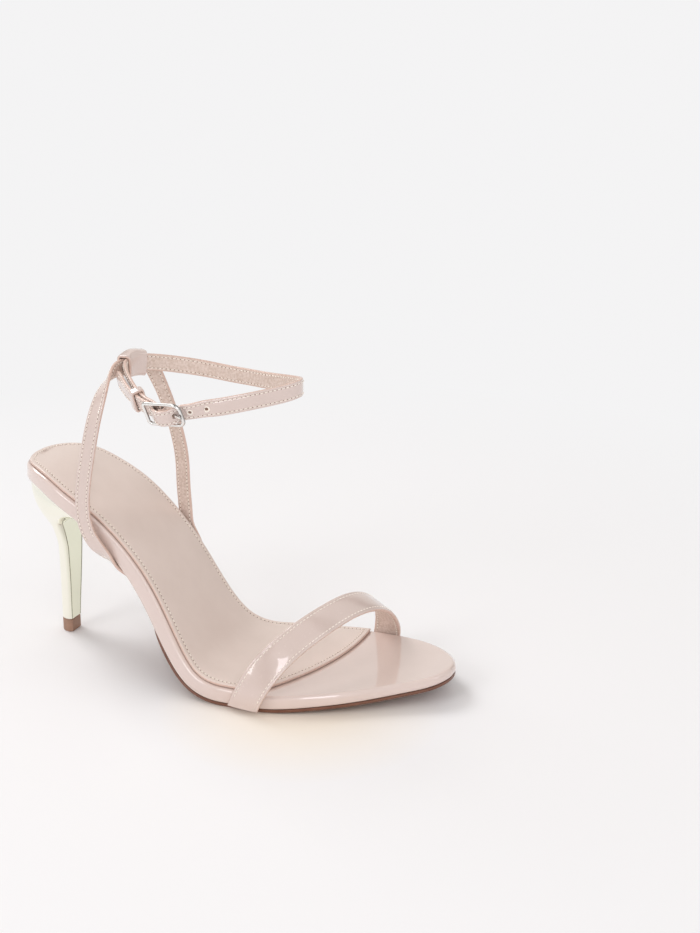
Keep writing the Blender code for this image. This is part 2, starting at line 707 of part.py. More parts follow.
def build_sling():
    free = np.array(SLING)
    free[:, :3] *= SPAN
    rows = np.vstack([tucked(SLING_TUCK_OUTER), free, tucked(SLING_TUCK_INNER)])
    rows[:, 3:] = unit(rows[:, 3:])
    full = curve(rows)(np.linspace(0, 1, 80))
    n = len(full)
    ribbon("sling_strap", full[:, :3], full[:, 3:], np.full(n, SLING_WIDTH),
           np.full(n, STRAP_THICK), NUDE_PATENT)


_ring = curve(np.array(RING) * SPAN, closed=True)


def ring_frame(share):
    """Point, direction, up and outward on the ankle strap's line.

    Beside the buckle the strap's top edge leans outward.
    """
    p = _ring(share)
    along = unit(_ring(share + 2e-4) - _ring(share - 2e-4))
    out = unit(np.cross(along, np.array([0.0, 0.0, 1.0])))
    up = unit(np.cross(out, along))
    away = ((share - BUCKLE_AT + 0.5) % 1.0 - 0.5) * _ring.length
    reach = LEAN_REACH[0] if away < 0 else LEAN_REACH[1]
    u = min(max((abs(away) - LEAN_CORE) / (reach - LEAN_CORE), 0.0), 1.0)
    lean = math.radians(BUCKLE_LEAN) * (1 - u * u * (3 - 2 * u))
    side, rise = math.sin(lean), math.cos(lean)
    return p, along, up * rise + out * side, out * rise - up * side


def ring_point(share, run, up, out):
    """A point given by its run along, rise and distance off the strap's line."""
    p, along, rise, off = ring_frame(share + run / _ring.length)
    return p + rise * up + off * out


LAYER = STRAP_THICK + GAP
BAR = WIRE / 2
FRAME_OFF = BAR + GAP + STRAP_THICK / 2 + LAYER    # frame's middle outside the strap's line
OVER_BAR = BAR + GAP + FOLD_THICK + GAP + STRAP_THICK / 2
BAR_REACH = (FRAME_LONG - WIRE) / 2
FOLD_RADIUS = BAR + GAP + FOLD_THICK / 2
SPLIT_AT = 0.0300                  # the strap's two runs part this far ahead of the bar
# Outer run of the ankle strap: run ahead of the centre bar, distance off the line
WEAVE = [
    (-0.0400, 2.0 * LAYER), (-0.0300, 1.85 * LAYER), (-0.0180, 1.25 * LAYER),
    (-BAR_REACH, LAYER), (0.0, FRAME_OFF + OVER_BAR), (BAR_REACH, LAYER),
    (0.0200, 0.25 * LAYER), (SPLIT_AT, 0.0),
]


def weave_off(run):
    """Distance of the outer run off the strap's line; it weaves through the buckle."""
    for (a, low), (b, high) in zip(WEAVE[:-1], WEAVE[1:]):
        if run <= b:
            u = min(max((run - a) / (b - a), 0.0), 1.0)
            return low + (high - low) * u * u * (3 - 2 * u)
    return 0.0


def fold_rows():
    """The inner end, folded round the centre bar: run, distance off, thickness."""
    rows = []
    for angle in np.radians(np.linspace(110, -90, 11)):
        rows.append((FOLD_RADIUS * math.cos(angle), FRAME_OFF + FOLD_RADIUS * math.sin(angle),
                     FOLD_THICK))
    low = FRAME_OFF - FOLD_RADIUS
    for u in (0.2, 0.4, 0.6, 0.8, 1.0):
        ease = u * u * (3 - 2 * u)
        rows.append((-BAR_REACH * u, low * (1 - ease), FOLD_THICK + (STRAP_THICK - FOLD_THICK) * u))
    return rows


def build_ankle_strap():
    """From the fold on the buckle, inside to the back, round, and out to the free end."""
    pts, looks, thicks = [], [], []
    fold = fold_rows()
    for k, (run, off, thick) in enumerate(fold):
        pts.append(ring_point(BUCKLE_AT, run, 0.0, off))
        before, after = fold[max(k - 1, 0)], fold[min(k + 1, len(fold) - 1)]
        d = np.array([after[0] - before[0], after[1] - before[1]])
        d /= np.linalg.norm(d)
        _, along, _, out = ring_frame(BUCKLE_AT + run / _ring.length)
        looks.append(out * -d[0] + along * d[1])
        thicks.append(thick)
    inner_start = BUCKLE_AT - BAR_REACH / _ring.length
    weave_start = BUCKLE_AT + SPLIT_AT / _ring.length
    plain = np.concatenate([np.linspace(inner_start, 0.0, 15)[1:],
                            np.linspace(1.0, weave_start, 46)[1:]])
    for share in plain:
        p, _, _, out = ring_frame(share)
        pts.append(p)
        looks.append(out)
        thicks.append(STRAP_THICK)
    for share in np.linspace(weave_start, TAIL_AT, 42)[1:]:
        run = (share - BUCKLE_AT) * _ring.length
        pts.append(ring_point(share, 0.0, 0.0, weave_off(run)))
        looks.append(ring_frame(share)[3])
        thicks.append(STRAP_THICK)
    pts = np.array(pts)
    run = np.concatenate([[0], np.cumsum(np.linalg.norm(np.diff(pts, axis=0), axis=1))])
    point = np.clip((run[-1] - run) / TIP_TAPER, 0, 1)
    widths = STRAP_WIDTH * (TIP_SHARE + (1 - TIP_SHARE) * np.sqrt(point))
    strap = ribbon("ankle_strap", pts, np.array(looks), widths, thicks, NUDE_PATENT)
    reach = FOLD_RADIUS + FOLD_THICK / 2 + 0.0002
    cut(strap, box_cutter("prong_slot", -reach, reach, PRONG_WIDTH / 2 + GAP,
                          FRAME_OFF - reach, FRAME_OFF + reach))
    cut(strap, prong_hole_cutter())
    for k in range(SPARE_HOLES):
        at = BUCKLE_AT + (HOLE_FIRST + HOLE_PITCH * k) / _ring.length
        cut(strap, round_cutter("spare_hole_%d" % (k + 1), at))


def box_cutter(name, run0, run1, half_up, off0, off1):
    corners = [(run0, -half_up), (run1, -half_up), (run1, half_up), (run0, half_up)]
    rings = [[ring_point(BUCKLE_AT, run, up, off) for run, up in corners] for off in (off0, off1)]
    return loft(name, rings, NUDE_PATENT)


def round_cutter(name, share):
    p, along, up, out = ring_frame(share)
    rings = []
    for off in (-0.004, 0.004):
        rings.append([p + out * off + HOLE / 2 * (along * math.cos(a) + up * math.sin(a))
                      for a in np.linspace(0, 2 * math.pi, 17)[:-1]])
    return loft(name, rings, NUDE_PATENT)


# The buckle


def prong_rows():
    """Middle line of the prong: run ahead of the centre bar, distance off the frame."""
    radius = BAR + GAP + PRONG_THICK / 2
    rows = []
    for angle in np.radians(np.linspace(-270, PRONG_LEAVES, 14)):
        rows.append((radius * math.cos(angle), radius * math.sin(angle)))
    run, off = rows[-1]
    rise = (BAR + GAP + PRONG_THICK / 2 - off) / (BAR_REACH - run)
    length = BAR_REACH + PRONG_PAST - run
    for u in (0.2, 0.4, 0.6, 0.8, 1.0):
        rows.append((run + length * u, off + rise * length * u))
    return rows


def buckle_frame():
    p, along, up, out = ring_frame(BUCKLE_AT)
    return p + out * FRAME_OFF, along, up, out


def build_prong():
    centre, along, up, out = buckle_frame()
    rows = np.array(prong_rows())
    pts = np.array([centre + along * r + out * o for r, o in rows])
    d = unit(np.gradient(rows, axis=0))
    looks = np.array([out * a - along * b for a, b in d])
    n = len(pts)
    widths = np.full(n, PRONG_WIDTH)
    widths[-1] = PRONG_WIDTH * 0.7
    ribbon("buckle_prong", pts, looks, widths, np.full(n, PRONG_THICK), SILVER_METAL)


def prong_hole_cutter():
    """A round cut along the prong where it passes through the strap."""
    centre, along, up, out = buckle_frame()
    rows = np.array(prong_rows())
    a, b = rows[-6], rows[-1]
    d = (b - a) / np.linalg.norm(b - a)
    way = along * d[0] + out * d[1]
    side = unit(np.cross(way, up))
    base = centre + along * a[0] + out * a[1]
    rings = []
    for t in (0.0022, 0.0062):
        rings.append([base + way * t + PRONG_HOLE / 2 * (up * math.cos(q) + side * math.sin(q))
                      for q in np.linspace(0, 2 * math.pi, 17)[:-1]])
    return loft("prong_hole", rings, NUDE_PATENT)


def build_buckle():
    """A wire frame with rounder corners at its front, and a bar across its middle."""
    centre, along, up, out = buckle_frame()
    half_long, half_tall = BAR_REACH, (FRAME_TALL - WIRE) / 2
    path = []
    ahead, behind = SIDE_CORNERS
    for side_x, side_y, radius in ((1, 1, ahead), (-1, 1, behind), (-1, -1, behind),
                                   (1, -1, ahead)):
        first = {(1, 1): 0, (-1, 1): 90, (-1, -1): 180, (1, -1): 270}[side_x, side_y]
        for a in np.radians(np.linspace(first, first + 90, 7)):
            path.append((side_x * (half_long - radius) + radius * math.cos(a),
                         side_y * (half_tall - radius) + radius * math.sin(a)))
    world = np.array([centre + along * a + up * b for a, b in path])
    rings = []
    for i in range(len(world)):
        d = unit(world[(i + 1) % len(world)] - world[i - 1])
        side = unit(np.cross(d, out))
        rings.append([world[i] + BAR * (side * math.cos(q) + out * math.sin(q))
                      for q in np.linspace(0, 2 * math.pi, 11)[:-1]])
    frame = loft("buckle_frame", rings, SILVER_METAL, closed=True)
    ends = [centre + up * s * half_tall for s in (-1, 1)]
    bar = loft("centre_bar", [[e + BAR * 0.98 * (along * math.cos(q) + out * math.sin(q))
                               for q in np.linspace(0, 2 * math.pi, 13)[:-1]] for e in ends],
               SILVER_METAL)
    bar.hide_render = True
    bar.display_type = "WIRE"
    join = frame.modifiers.new("centre_bar", "BOOLEAN")
    join.operation = "UNION"
    join.object = bar


# Loops round the straps


def loop_section(low_out, high_out, low_up, high_up, corner, crown):
    """A rounded rectangle as (out, up) pairs; crown lifts its top's middle."""
    pts = []
    spots = ((high_out, high_up, 0), (low_out, high_up, 90), (low_out, low_up, 180),
             (high_out, low_up, 270))
    for o, u, first in spots:
        sign_o = 1 if o == high_out else -1
        sign_u = 1 if u == high_up else -1
        for a in np.radians(np.linspace(first, first + 90, 5)):
            pts.append((o - sign_o * corner + corner * math.cos(a),
                        u - sign_u * corner + corner * math.sin(a)))
    middle = (low_out + high_out) / 2
    reach = (high_out - low_out) / 2
    return [(o, u + (crown * (1 - ((o - middle) / reach) ** 2) if u > 0 else 0)) for o, u in pts]


def build_loop(name, share, long, wall, low_out, high_out, half_up, sag, corner, crown,
               stations):
    """A loop round the straps at a share of their run.

    high_out gives how far its opening reaches outward at its inner and its outer end,
    and sag how much lower the opening reaches at its inner end.
    """
    outer, inner = [], []
    for run in np.linspace(-long / 2, long / 2, stations):
        thin = wall * 0.75 if abs(run) > long * 0.49 else wall
        high = high_out[0] + (high_out[1] - high_out[0]) * (run / long + 0.5)
        top = crown * math.cos(math.pi * run / long) ** 2
        for rings, grow in ((outer, thin), (inner, 0.0)):
            low = -half_up - sag * (0.5 - run / long)
            section = loop_section(low_out - grow, high + grow, low - grow,
                                   half_up + grow, corner + grow, top)
            rings.append([ring_point(share, run, u, o) for o, u in section])
    sleeve(name, outer, inner, NUDE_PATENT)


def build_sling_loop():
    clear = GAP + 0.0001
    build_loop("sling_loop", LOOP_AT, LOOP_LONG, LOOP_WALL, -STRAP_THICK / 2 - clear,
               LOOP_OPENS, STRAP_WIDTH / 2 + clear, LOOP_SAG, 0.0010, LOOP_CROWN, 7)


def build_keeper():
    run = (KEEPER_AT - BUCKLE_AT) * _ring.length
    clear = GAP + 0.0001
    high = weave_off(run) + STRAP_THICK / 2 + clear + 0.0001
    build_loop("strap_keeper", KEEPER_AT, KEEPER_LONG, KEEPER_WALL, -STRAP_THICK / 2 - clear,
               (high, high), STRAP_WIDTH / 2 + clear, 0.0, 0.0005, 0.0, 3)


def main():
    clear_scene()
    build_outsole()
    build_insole_board()
    build_sock()
    build_heel()
    build_heel_tip()
    build_toe_strap()
    build_sling()
    build_sling_loop()
    build_ankle_strap()
    build_keeper()
    build_buckle()
    build_prong()


main()
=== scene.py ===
import math

import bmesh
import bpy
import numpy as np
from mathutils import Matrix, Vector
from mathutils.bvhtree import BVHTree


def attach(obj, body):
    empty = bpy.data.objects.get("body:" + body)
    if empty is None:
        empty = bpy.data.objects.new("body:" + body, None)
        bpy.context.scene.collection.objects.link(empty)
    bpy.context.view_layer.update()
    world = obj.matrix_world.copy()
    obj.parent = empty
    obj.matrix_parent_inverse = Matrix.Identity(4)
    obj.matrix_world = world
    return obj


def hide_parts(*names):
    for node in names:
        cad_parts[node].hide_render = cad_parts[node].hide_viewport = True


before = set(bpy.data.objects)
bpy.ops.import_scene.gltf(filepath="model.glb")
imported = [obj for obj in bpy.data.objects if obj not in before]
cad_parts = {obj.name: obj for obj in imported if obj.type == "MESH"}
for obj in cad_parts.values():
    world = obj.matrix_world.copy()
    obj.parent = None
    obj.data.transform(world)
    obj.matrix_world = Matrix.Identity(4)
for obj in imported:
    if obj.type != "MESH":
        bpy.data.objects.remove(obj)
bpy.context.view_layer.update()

# Driving sizes in metres
SOLE_LENGTH = 0.2175  # heel edge to toe edge, level
HEEL_REACH = 0.0168  # heel edge behind the heel tip's centre
HALF_BALL = 0.0390  # half the width across the ball
SEAT_RISE = 0.0840  # platform's underside above the floor at its rear edge
SEAT_HALF = 0.0242  # half the width of the heel's top
TOE_ARCH = 0.0432  # top of the toe strap
ANKLE_RISE = 0.1436  # middle of the ankle strap at its back
OUTSOLE = 0.0017  # thickness
GAP = 0.0003  # air between neighbouring pieces
PLATFORM = 0.0076  # thickness at the waist
SOCK = 0.0015  # insole's thickness at its edge
SOCK_INSET = 0.0014  # insole's edge inside the platform's
SOCK_CROWN = 0.0007  # its padding over the middle
SEAT_DIP = 0.0016  # its hollow under the heel
TIP_HEIGHT = 0.0068
TOE_STRAP_THICK = 0.0018
STRAP_WIDTH = 0.0080
STRAP_THICK = 0.0014  # and the slings'
TIP_TAPER = 0.0065  # rounded free end of the ankle strap
TIP_SHARE = 0.30  # share of the width left at its tip
SLING_WIDTH = 0.0074
FRAME_LONG = 0.0202  # buckle frame along the strap
FRAME_TALL = 0.0124
WIRE = 0.0016
SIDE_CORNERS = (0.0030, 0.0016)  # frame's corners ahead of the bar and behind
FOLD_THICK = 0.0009  # ankle strap where it folds round the bar
PRONG_WIDTH = 0.0016
PRONG_THICK = 0.0009
PRONG_LEAVES = -69  # degrees round the bar where the prong leaves its eye
PRONG_PAST = 0.0008  # its tip past the frame's front wire
PRONG_HOLE = 0.0025
HOLE = 0.0022  # punched holes in the ankle strap
HOLE_FIRST = 0.0110  # first spare hole ahead of the bar
HOLE_PITCH = 0.0072
SPARE_HOLES = 2
LOOP_LONG = 0.0116  # along the strap
LOOP_WALL = 0.0012
LOOP_OPENS = (0.0048, 0.0036)  # outward reach of its opening at both ends
LOOP_CROWN = 0.0010
LOOP_SAG = 0.0010  # drop of its lower side at the inner end
KEEPER_LONG = 0.0036
KEEPER_WALL = 0.0010
SOCK_FRONT = (0.1225, 0.1481)  # x of the insole's front edge, outer and inner
SOCK_BOW = 0.0078  # how far it bows forward
OUTSOLE_REAR = 0.0284  # x of its rear edge
OUTSOLE_INSET = 0.0006  # inside the platform's edge
WAIST_INSET = 0.0108  # and at its waist
WAIST_END = (0.0620, 0.0740)  # x where the waist ends, outer and inner
WAIST_EASE = 0.0030  # length over which it widens

# Underside of the platform: share of sole length, share of seat rise
UNDERSIDE_REAR = [
    (0.00, 1.000), (0.08, 0.976), (0.14, 0.915), (0.20, 0.832), (0.27, 0.683),
    (0.335, 0.500), (0.405, 0.270), (0.465, 0.112), (0.52, 0.042), (0.57, 0.024),
]
UNDERSIDE_TOE = [
    (0.64, 0.024), (0.70, 0.031), (0.76, 0.046), (0.83, 0.065), (0.90, 0.087),
    (0.96, 0.112), (1.00, 0.136),
]
SEAT_SLOPE = -0.10  # underside's slope at the heel edge
SPRING_SLOPE = 0.14  # and at the toe

# Outline: share of sole length, outer and inner half widths as shares of half the ball
OUTLINE = [
    (0.02, 0.31, 0.43), (0.06, 0.49, 0.62), (0.12, 0.64, 0.71), (0.195, 0.69, 0.735),
    (0.275, 0.69, 0.72), (0.345, 0.75, 0.68), (0.425, 0.93, 0.63), (0.505, 1.07, 0.71),
    (0.585, 1.06, 0.87), (0.665, 1.01, 1.01), (0.745, 0.85, 1.08), (0.815, 0.65, 1.07),
    (0.885, 0.39, 0.99), (0.945, 0.15, 0.82), (0.98, 0.00, 0.62),
]
HEEL_MIDDLE = 0.04  # y of the heel edge, share of HALF_BALL
TOE_MIDDLE = 0.30  # y of the toe edge

# Platform thickness: share of sole length, share of PLATFORM
THICKNESS = [(0.00, 0.96), (0.20, 1.00), (0.45, 1.03), (0.66, 0.88), (0.85, 0.69), (1.00, 0.56)]

# Heel: rise and x of its rear edge, rise and x of its front edge, half width, share of
# the seat's curve. Rises are shares of SEAT_RISE, the rest shares of SEAT_HALF.
HEEL_ROWS = [
    (0.085, -0.145, 0.085, 0.149, 0.186, 0.00), (0.179, -0.140, 0.179, 0.161, 0.207, 0.00),
    (0.298, -0.128, 0.298, 0.182, 0.236, 0.00), (0.417, -0.116, 0.417, 0.198, 0.269, 0.00),
    (0.536, -0.107, 0.536, 0.207, 0.306, 0.00), (0.601, -0.124, 0.595, 0.202, 0.335, 0.00),
    (0.667, -0.174, 0.655, 0.194, 0.388, 0.00), (0.720, -0.231, 0.702, 0.202, 0.467, 0.00),
    (0.774, -0.322, 0.740, 0.244, 0.579, 0.00), (0.833, -0.421, 0.776, 0.355, 0.719, 0.10),
    (0.893, -0.529, 0.805, 0.545, 0.839, 0.32), (0.946, -0.603, 0.824, 0.810, 0.926, 0.66),
    (0.976, -0.636, 0.829, 1.041, 0.971, 1.00),
]
HEEL_TOP = (-0.648, 1.100, 1.000)  # its top edge: rear x, front x, half width
HEEL_SHIFT = 0.0012  # the seat lies toward the inner side

# Toe strap from the outer side to the inner: across as a share of HALF_BALL, then x and
# rise of its rear and front edges as shares of SOLE_LENGTH and TOE_ARCH
TOE_STRAP = [
    (-1.087, 0.510, 0.060, 0.579, 0.051), (-1.087, 0.521, 0.199, 0.589, 0.167),
    (-1.051, 0.536, 0.370, 0.601, 0.292), (-0.944, 0.557, 0.569, 0.617, 0.431),
    (-0.733, 0.588, 0.755, 0.643, 0.597), (-0.467, 0.617, 0.884, 0.672, 0.722),
    (-0.133, 0.649, 0.977, 0.701, 0.810), (0.221, 0.676, 1.000, 0.728, 0.833),
    (0.538, 0.692, 0.907, 0.745, 0.745), (0.821, 0.696, 0.708, 0.751, 0.560),
    (1.015, 0.691, 0.472, 0.750, 0.361), (1.113, 0.683, 0.264, 0.745, 0.218),
    (1.126, 0.679, 0.125, 0.742, 0.116),
]

# Sling from the outer side up, round the back and down the inner side: x, y, z as shares
# of SOLE_LENGTH, HALF_BALL and ANKLE_RISE, then the direction its face looks
SLING = [
    (0.157, -0.776, 0.462, -0.03, -1.00, -0.03), (0.1465, -0.789, 0.503, 0.00, -1.00, -0.02),
    (0.143, -0.803, 0.560, 0.00, -1.00, 0.00), (0.147, -0.803, 0.641, 0.00, -1.00, 0.05),
    (0.156, -0.762, 0.745, 0.00, -1.00, 0.08), (0.165, -0.685, 0.850, -0.08, -1.00, 0.12),
    (0.171, -0.574, 0.923, -0.30, -0.93, 0.12), (0.174, -0.431, 0.971, -0.62, -0.75, 0.08),
    (0.175, -0.267, 0.993, -0.88, -0.42, 0.03), (0.1775, -0.077, 0.997, -1.00, 0.02, 0.00),
    (0.1845, 0.110, 1.000, -0.93, 0.36, 0.00), (0.195, 0.282, 0.989, -0.66, 0.74, 0.05),
    (0.205, 0.410, 0.937, -0.28, 0.95, 0.12), (0.219, 0.503, 0.853, -0.05, 1.00, 0.12),
    (0.231, 0.605, 0.745, 0.00, 1.00, 0.10), (0.235, 0.703, 0.627, 0.00, 1.00, 0.06),
    (0.232, 0.759, 0.515, 0.00, 1.00, 0.00), (0.235, 0.765, 0.432, 0.00, 1.00, 0.00),
    (0.240, 0.757, 0.380, 0.00, 1.00, -0.05),
]
# Its ends turn in under the platform: x and y as shares of SOLE_LENGTH and HALF_BALL,
# lift off the underside as a share of STRAP_THICK, turn of the face from outward to down
SLING_TUCK_OUTER = [
    (0.226, -0.562, -0.72, 1.00), (0.2175, -0.600, -0.84, 0.94), (0.208, -0.640, -1.25, 0.73),
    (0.197, -0.684, -0.96, 0.47), (0.184, -0.722, -0.45, 0.24), (0.170, -0.765, 0.24, 0.09),
]
SLING_TUCK_INNER = [
    (0.2575, 0.742, 1.15, 0.16), (0.269, 0.682, -0.54, 0.47), (0.2795, 0.618, -1.21, 0.73),
    (0.289, 0.569, -0.84, 0.94), (0.297, 0.526, -0.72, 1.00),
]

# Ankle strap from the back round the outer side: x, y, z as shares of the same sizes
RING = [
    (0.187, -0.077, 0.997), (0.203, -0.282, 0.989), (0.246, -0.523, 0.967),
    (0.299, -0.733, 0.945), (0.359, -0.851, 0.944), (0.419, -0.810, 0.956),
    (0.465, -0.718, 0.965), (0.501, -0.610, 0.975), (0.534, -0.487, 0.985),
    (0.559, -0.364, 0.992), (0.581, -0.231, 0.999), (0.591, -0.103, 1.003),
    (0.581, 0.062, 0.997), (0.557, 0.226, 0.985), (0.517, 0.395, 0.971),
    (0.465, 0.528, 0.960), (0.414, 0.621, 0.955), (0.359, 0.672, 0.954),
    (0.308, 0.641, 0.962), (0.259, 0.492, 0.977), (0.218, 0.277, 0.993),
    (0.194, 0.087, 1.000),
]
# Shares of the ankle strap's round, from the back
BUCKLE_AT = 0.226
KEEPER_AT = 0.140
TAIL_AT = 0.040
LOOP_AT = -0.0215
BUCKLE_LEAN = 22  # degrees that the strap leans out at the buckle
LEAN_CORE = 0.010  # full lean this far each way
LEAN_REACH = (0.045, 0.024)  # none beyond this, behind and ahead

# Spacing of rows and steps
END_CROWDING = 0.8  # share of the rows that crowd toward a rounded end
ROUND_BACK = 64  # steps round the back of a heel section
FLAT_FRONT = 8  # and across its flat front
DRAWN_IN = 0.36  # part of its side that draws in toward the front

SPAN = np.array([SOLE_LENGTH, HALF_BALL, ANKLE_RISE])


def spline(xs, ys, ends=None, closed=False):
    """A cubic spline through the rows of ys; ends gives the slopes at both ends."""
    xs = np.asarray(xs, float)
    ys = np.asarray(ys, float)
    flat = ys.ndim == 1
    if flat:
        ys = ys[:, None]
    n = len(xs)
    h = np.diff(xs)
    rise = np.diff(ys, axis=0) / h[:, None]
    a = np.zeros((n, n))
    b = np.zeros_like(ys)
    for i in range(1, n - 1):
        a[i, i - 1:i + 2] = h[i - 1], 2 * (h[i - 1] + h[i]), h[i]
        b[i] = 6 * (rise[i] - rise[i - 1])
    if closed:
        a[0, 0], a[0, 1], a[0, n - 2] = 2 * (h[0] + h[-1]), h[0], h[-1]
        b[0] = 6 * (rise[0] - rise[-1])
        a[n - 1, n - 1], a[n - 1, 0] = 1, -1
    elif ends is None:
        a[0, 0] = a[n - 1, n - 1] = 1
    else:
        a[0, 0], a[0, 1] = 2 * h[0], h[0]
        b[0] = 6 * (rise[0] - ends[0])
        a[n - 1, n - 1], a[n - 1, n - 2] = 2 * h[-1], h[-1]
        b[n - 1] = 6 * (ends[1] - rise[-1])
    m = np.linalg.solve(a, b)

    def at(x):
        x = np.asarray(x, float)
        if closed:
            x = xs[0] + np.mod(x - xs[0], xs[-1] - xs[0])
        i = np.clip(np.searchsorted(xs, x, side="right") - 1, 0, n - 2)
        hi = h[i][..., None]
        u = (x - xs[i])[..., None]
        w = hi - u
        bend = (m[i] * w ** 3 + m[i + 1] * u ** 3) / (6 * hi)
        line = (ys[i] / hi - m[i] * hi / 6) * w + (ys[i + 1] / hi - m[i + 1] * hi / 6) * u
        return (bend + line)[..., 0] if flat else bend + line
    return at


def run_length(pts):
    """The length along the points up to each."""
    return np.concatenate([[0.0], np.cumsum(np.linalg.norm(np.diff(pts, axis=0), axis=1))])


def curve(points, closed=False):
    """A smooth curve through points, as a function of the share of its length."""
    pts = np.asarray(points, float)
    if closed:
        pts = np.vstack([pts, pts[:1]])
    knots = run_length(pts[:, :3])
    raw = spline(knots, pts, closed=closed)
    dense = np.linspace(0, knots[-1], 1201)
    length = run_length(raw(dense)[:, :3])

    def even(share):
        share = np.mod(share, 1.0) if closed else np.clip(share, 0, 1)
        return raw(np.interp(share * length[-1], length, dense))
    even.length = float(length[-1])
    return even


def unit(v):
    return v / np.maximum(np.linalg.norm(v, axis=-1, keepdims=True), 1e-12)


def level_x(share):
    return np.asarray(share, float) * SOLE_LENGTH - HEEL_REACH


def _profile(rows, ends):
    rows = np.array(rows)
    return spline(level_x(rows[:, 0]), rows[:, 1] * SEAT_RISE, ends=ends)


_rear_z = _profile(UNDERSIDE_REAR, (SEAT_SLOPE, 0.0))
_toe_z = _profile(UNDERSIDE_TOE, (0.0, SPRING_SLOPE))
TREAD_Z = OUTSOLE + GAP  # the platform's underside over the level tread
TREAD_REAR = level_x(UNDERSIDE_REAR[-1][0])
TREAD_FRONT = level_x(UNDERSIDE_TOE[0][0])
TREAD_LIFT = TREAD_Z - UNDERSIDE_TOE[0][1] * SEAT_RISE


def underside(x):
    """Height of the platform's underside at x."""
    x = np.asarray(x, float)
    z = np.where(x < TREAD_REAR, _rear_z(x), _toe_z(x)) + TREAD_LIFT
    return np.where((x >= TREAD_REAR) & (x <= TREAD_FRONT), TREAD_Z, z)


def slope(x):
    return (underside(x + 1e-5) - underside(x - 1e-5)) / 2e-5


def on_sole(x, y, lift):
    """The point lifted square to the underside from (x, y)."""
    g = slope(x)
    c = 1 / np.sqrt(1 + g * g)
    return np.stack([x - lift * g * c, y + 0 * x, underside(x) + lift * c], axis=-1)


def seat_height(x):
    """Height of the heel's top, a gap below the platform."""
    return underside(x) - GAP * np.sqrt(1 + slope(x) ** 2)


_thickness = spline(level_x([r[0] for r in THICKNESS]), [r[1] * PLATFORM for r in THICKNESS])


def thickness(x):
    return _thickness(np.clip(x, level_x(0), level_x(1)))


def outline(n=720):
    """Plan points of the platform's edge, and the way out of each."""
    rows = np.array(OUTLINE)
    x = level_x(rows[:, 0])
    outer = np.stack([x, -rows[:, 1] * HALF_BALL], axis=1)
    inner = np.stack([x, rows[:, 2] * HALF_BALL], axis=1)[::-1]
    heel = [(level_x(0.0), HEEL_MIDDLE * HALF_BALL)]
    toe = [(level_x(1.0), TOE_MIDDLE * HALF_BALL)]
    pts = np.vstack([heel, outer, toe, inner])
    edge = curve(np.hstack([pts, np.zeros((len(pts), 1))]), closed=True)
    pts = edge(np.arange(n) / n)[:, :2]
    ahead = np.roll(pts, -1, axis=0) - np.roll(pts, 1, axis=0)
    return pts, unit(np.stack([ahead[:, 1], -ahead[:, 0]], axis=1))


def inset_sides(inset):
    """Outer and inner sides, heel to toe, of the outline moved in by inset(x, y)."""
    pts, out = outline()
    loop = pts - out * np.reshape(inset(pts[:, 0], pts[:, 1]), (-1, 1))
    n = len(loop)
    rear, front = np.argmin(loop[:, 0]), np.argmax(loop[:, 0])
    one = loop[np.arange(rear, rear + np.mod(front - rear, n) + 1) % n]
    two = loop[np.arange(front, front + np.mod(rear - front, n) + 1) % n][::-1]
    return (one, two) if one[:, 1].mean() < two[:, 1].mean() else (two, one)


def skin_faces(rings, n, closed):
    """Quads between rings of n points each."""
    faces = []
    for i in range(rings if closed else rings - 1):
        a, b = i * n, ((i + 1) % rings) * n
        for j in range(n):
            k = (j + 1) % n
            faces.append((a + j, a + k, b + k, b + j))
    return faces


def side_rows(shares, inset_of, rear=None, front=None):
    """Rows at shares of the length between the rear and front x of each side."""
    def sides(inset):
        pair = []
        for which, line in enumerate(inset_sides(lambda x, y: inset_of(x, y) + inset)):
            start = line[0, 0] if rear is None else rear + inset
            end = line[-1, 0] if front is None else front[which] - inset
            x = start + (end - start) * np.asarray(shares)
            order = np.argsort(line[:, 0])
            pair.append(np.stack([x, np.interp(x, line[order, 0], line[order, 1])], axis=1))
        return pair
    return sides


def edge_ease(x):
    """Rounding of the platform's upper edge, fuller at the toe."""
    toe = np.clip((x - level_x(0.60)) / (0.40 * SOLE_LENGTH), 0, 1)
    return 0.0015 + 0.0008 * toe


def outsole_inset(x, y):
    """The outsole runs in at the waist, where the slings come round."""
    end = np.where(y > 0, WAIST_END[1], WAIST_END[0])
    return OUTSOLE_INSET + (WAIST_INSET - OUTSOLE_INSET) / (1 + np.exp((x - end) / WAIST_EASE))


def heel_section(rear, front, half, seat=0.0):
    """Round at the back, widest ahead of its middle, then drawn in to a flat front."""
    widest = front - (front - rear) * (0.30 - 0.20 * seat)
    flat = half * (0.80 + 0.14 * seat)
    pts = []
    for a in np.linspace(0.0, math.pi, ROUND_BACK + 1):
        side = -math.copysign(1.0, math.cos(a))
        if math.sin(a) < DRAWN_IN:
            u = math.sin(a) / DRAWN_IN
            x = front - (front - widest) * u
            y = side * (flat + (half - flat) * math.sin(u * math.pi / 2))
        else:
            v = (math.sin(a) - DRAWN_IN) / (1 - DRAWN_IN)
            x = widest - (widest - rear) * math.sin(v * math.pi / 2)
            y = side * half * math.cos(v * math.pi / 2) ** 0.90
        pts.append((x, y))
    for k in range(1, FLAT_FRONT):
        pts.append((front, flat * (1 - 2 * k / FLAT_FRONT)))
    return np.array(pts)


def heel_ring(rear, rear_z, front, front_z, half, seat, drop):
    plan = heel_section(rear, front, half, seat)
    plan[:, 1] += HEEL_SHIFT * seat
    flat = rear_z + (front_z - rear_z) * (plan[:, 0] - rear) / (front - rear)
    z = flat * (1 - seat) + (seat_height(plan[:, 0]) - drop) * seat
    return np.column_stack([plan, z])


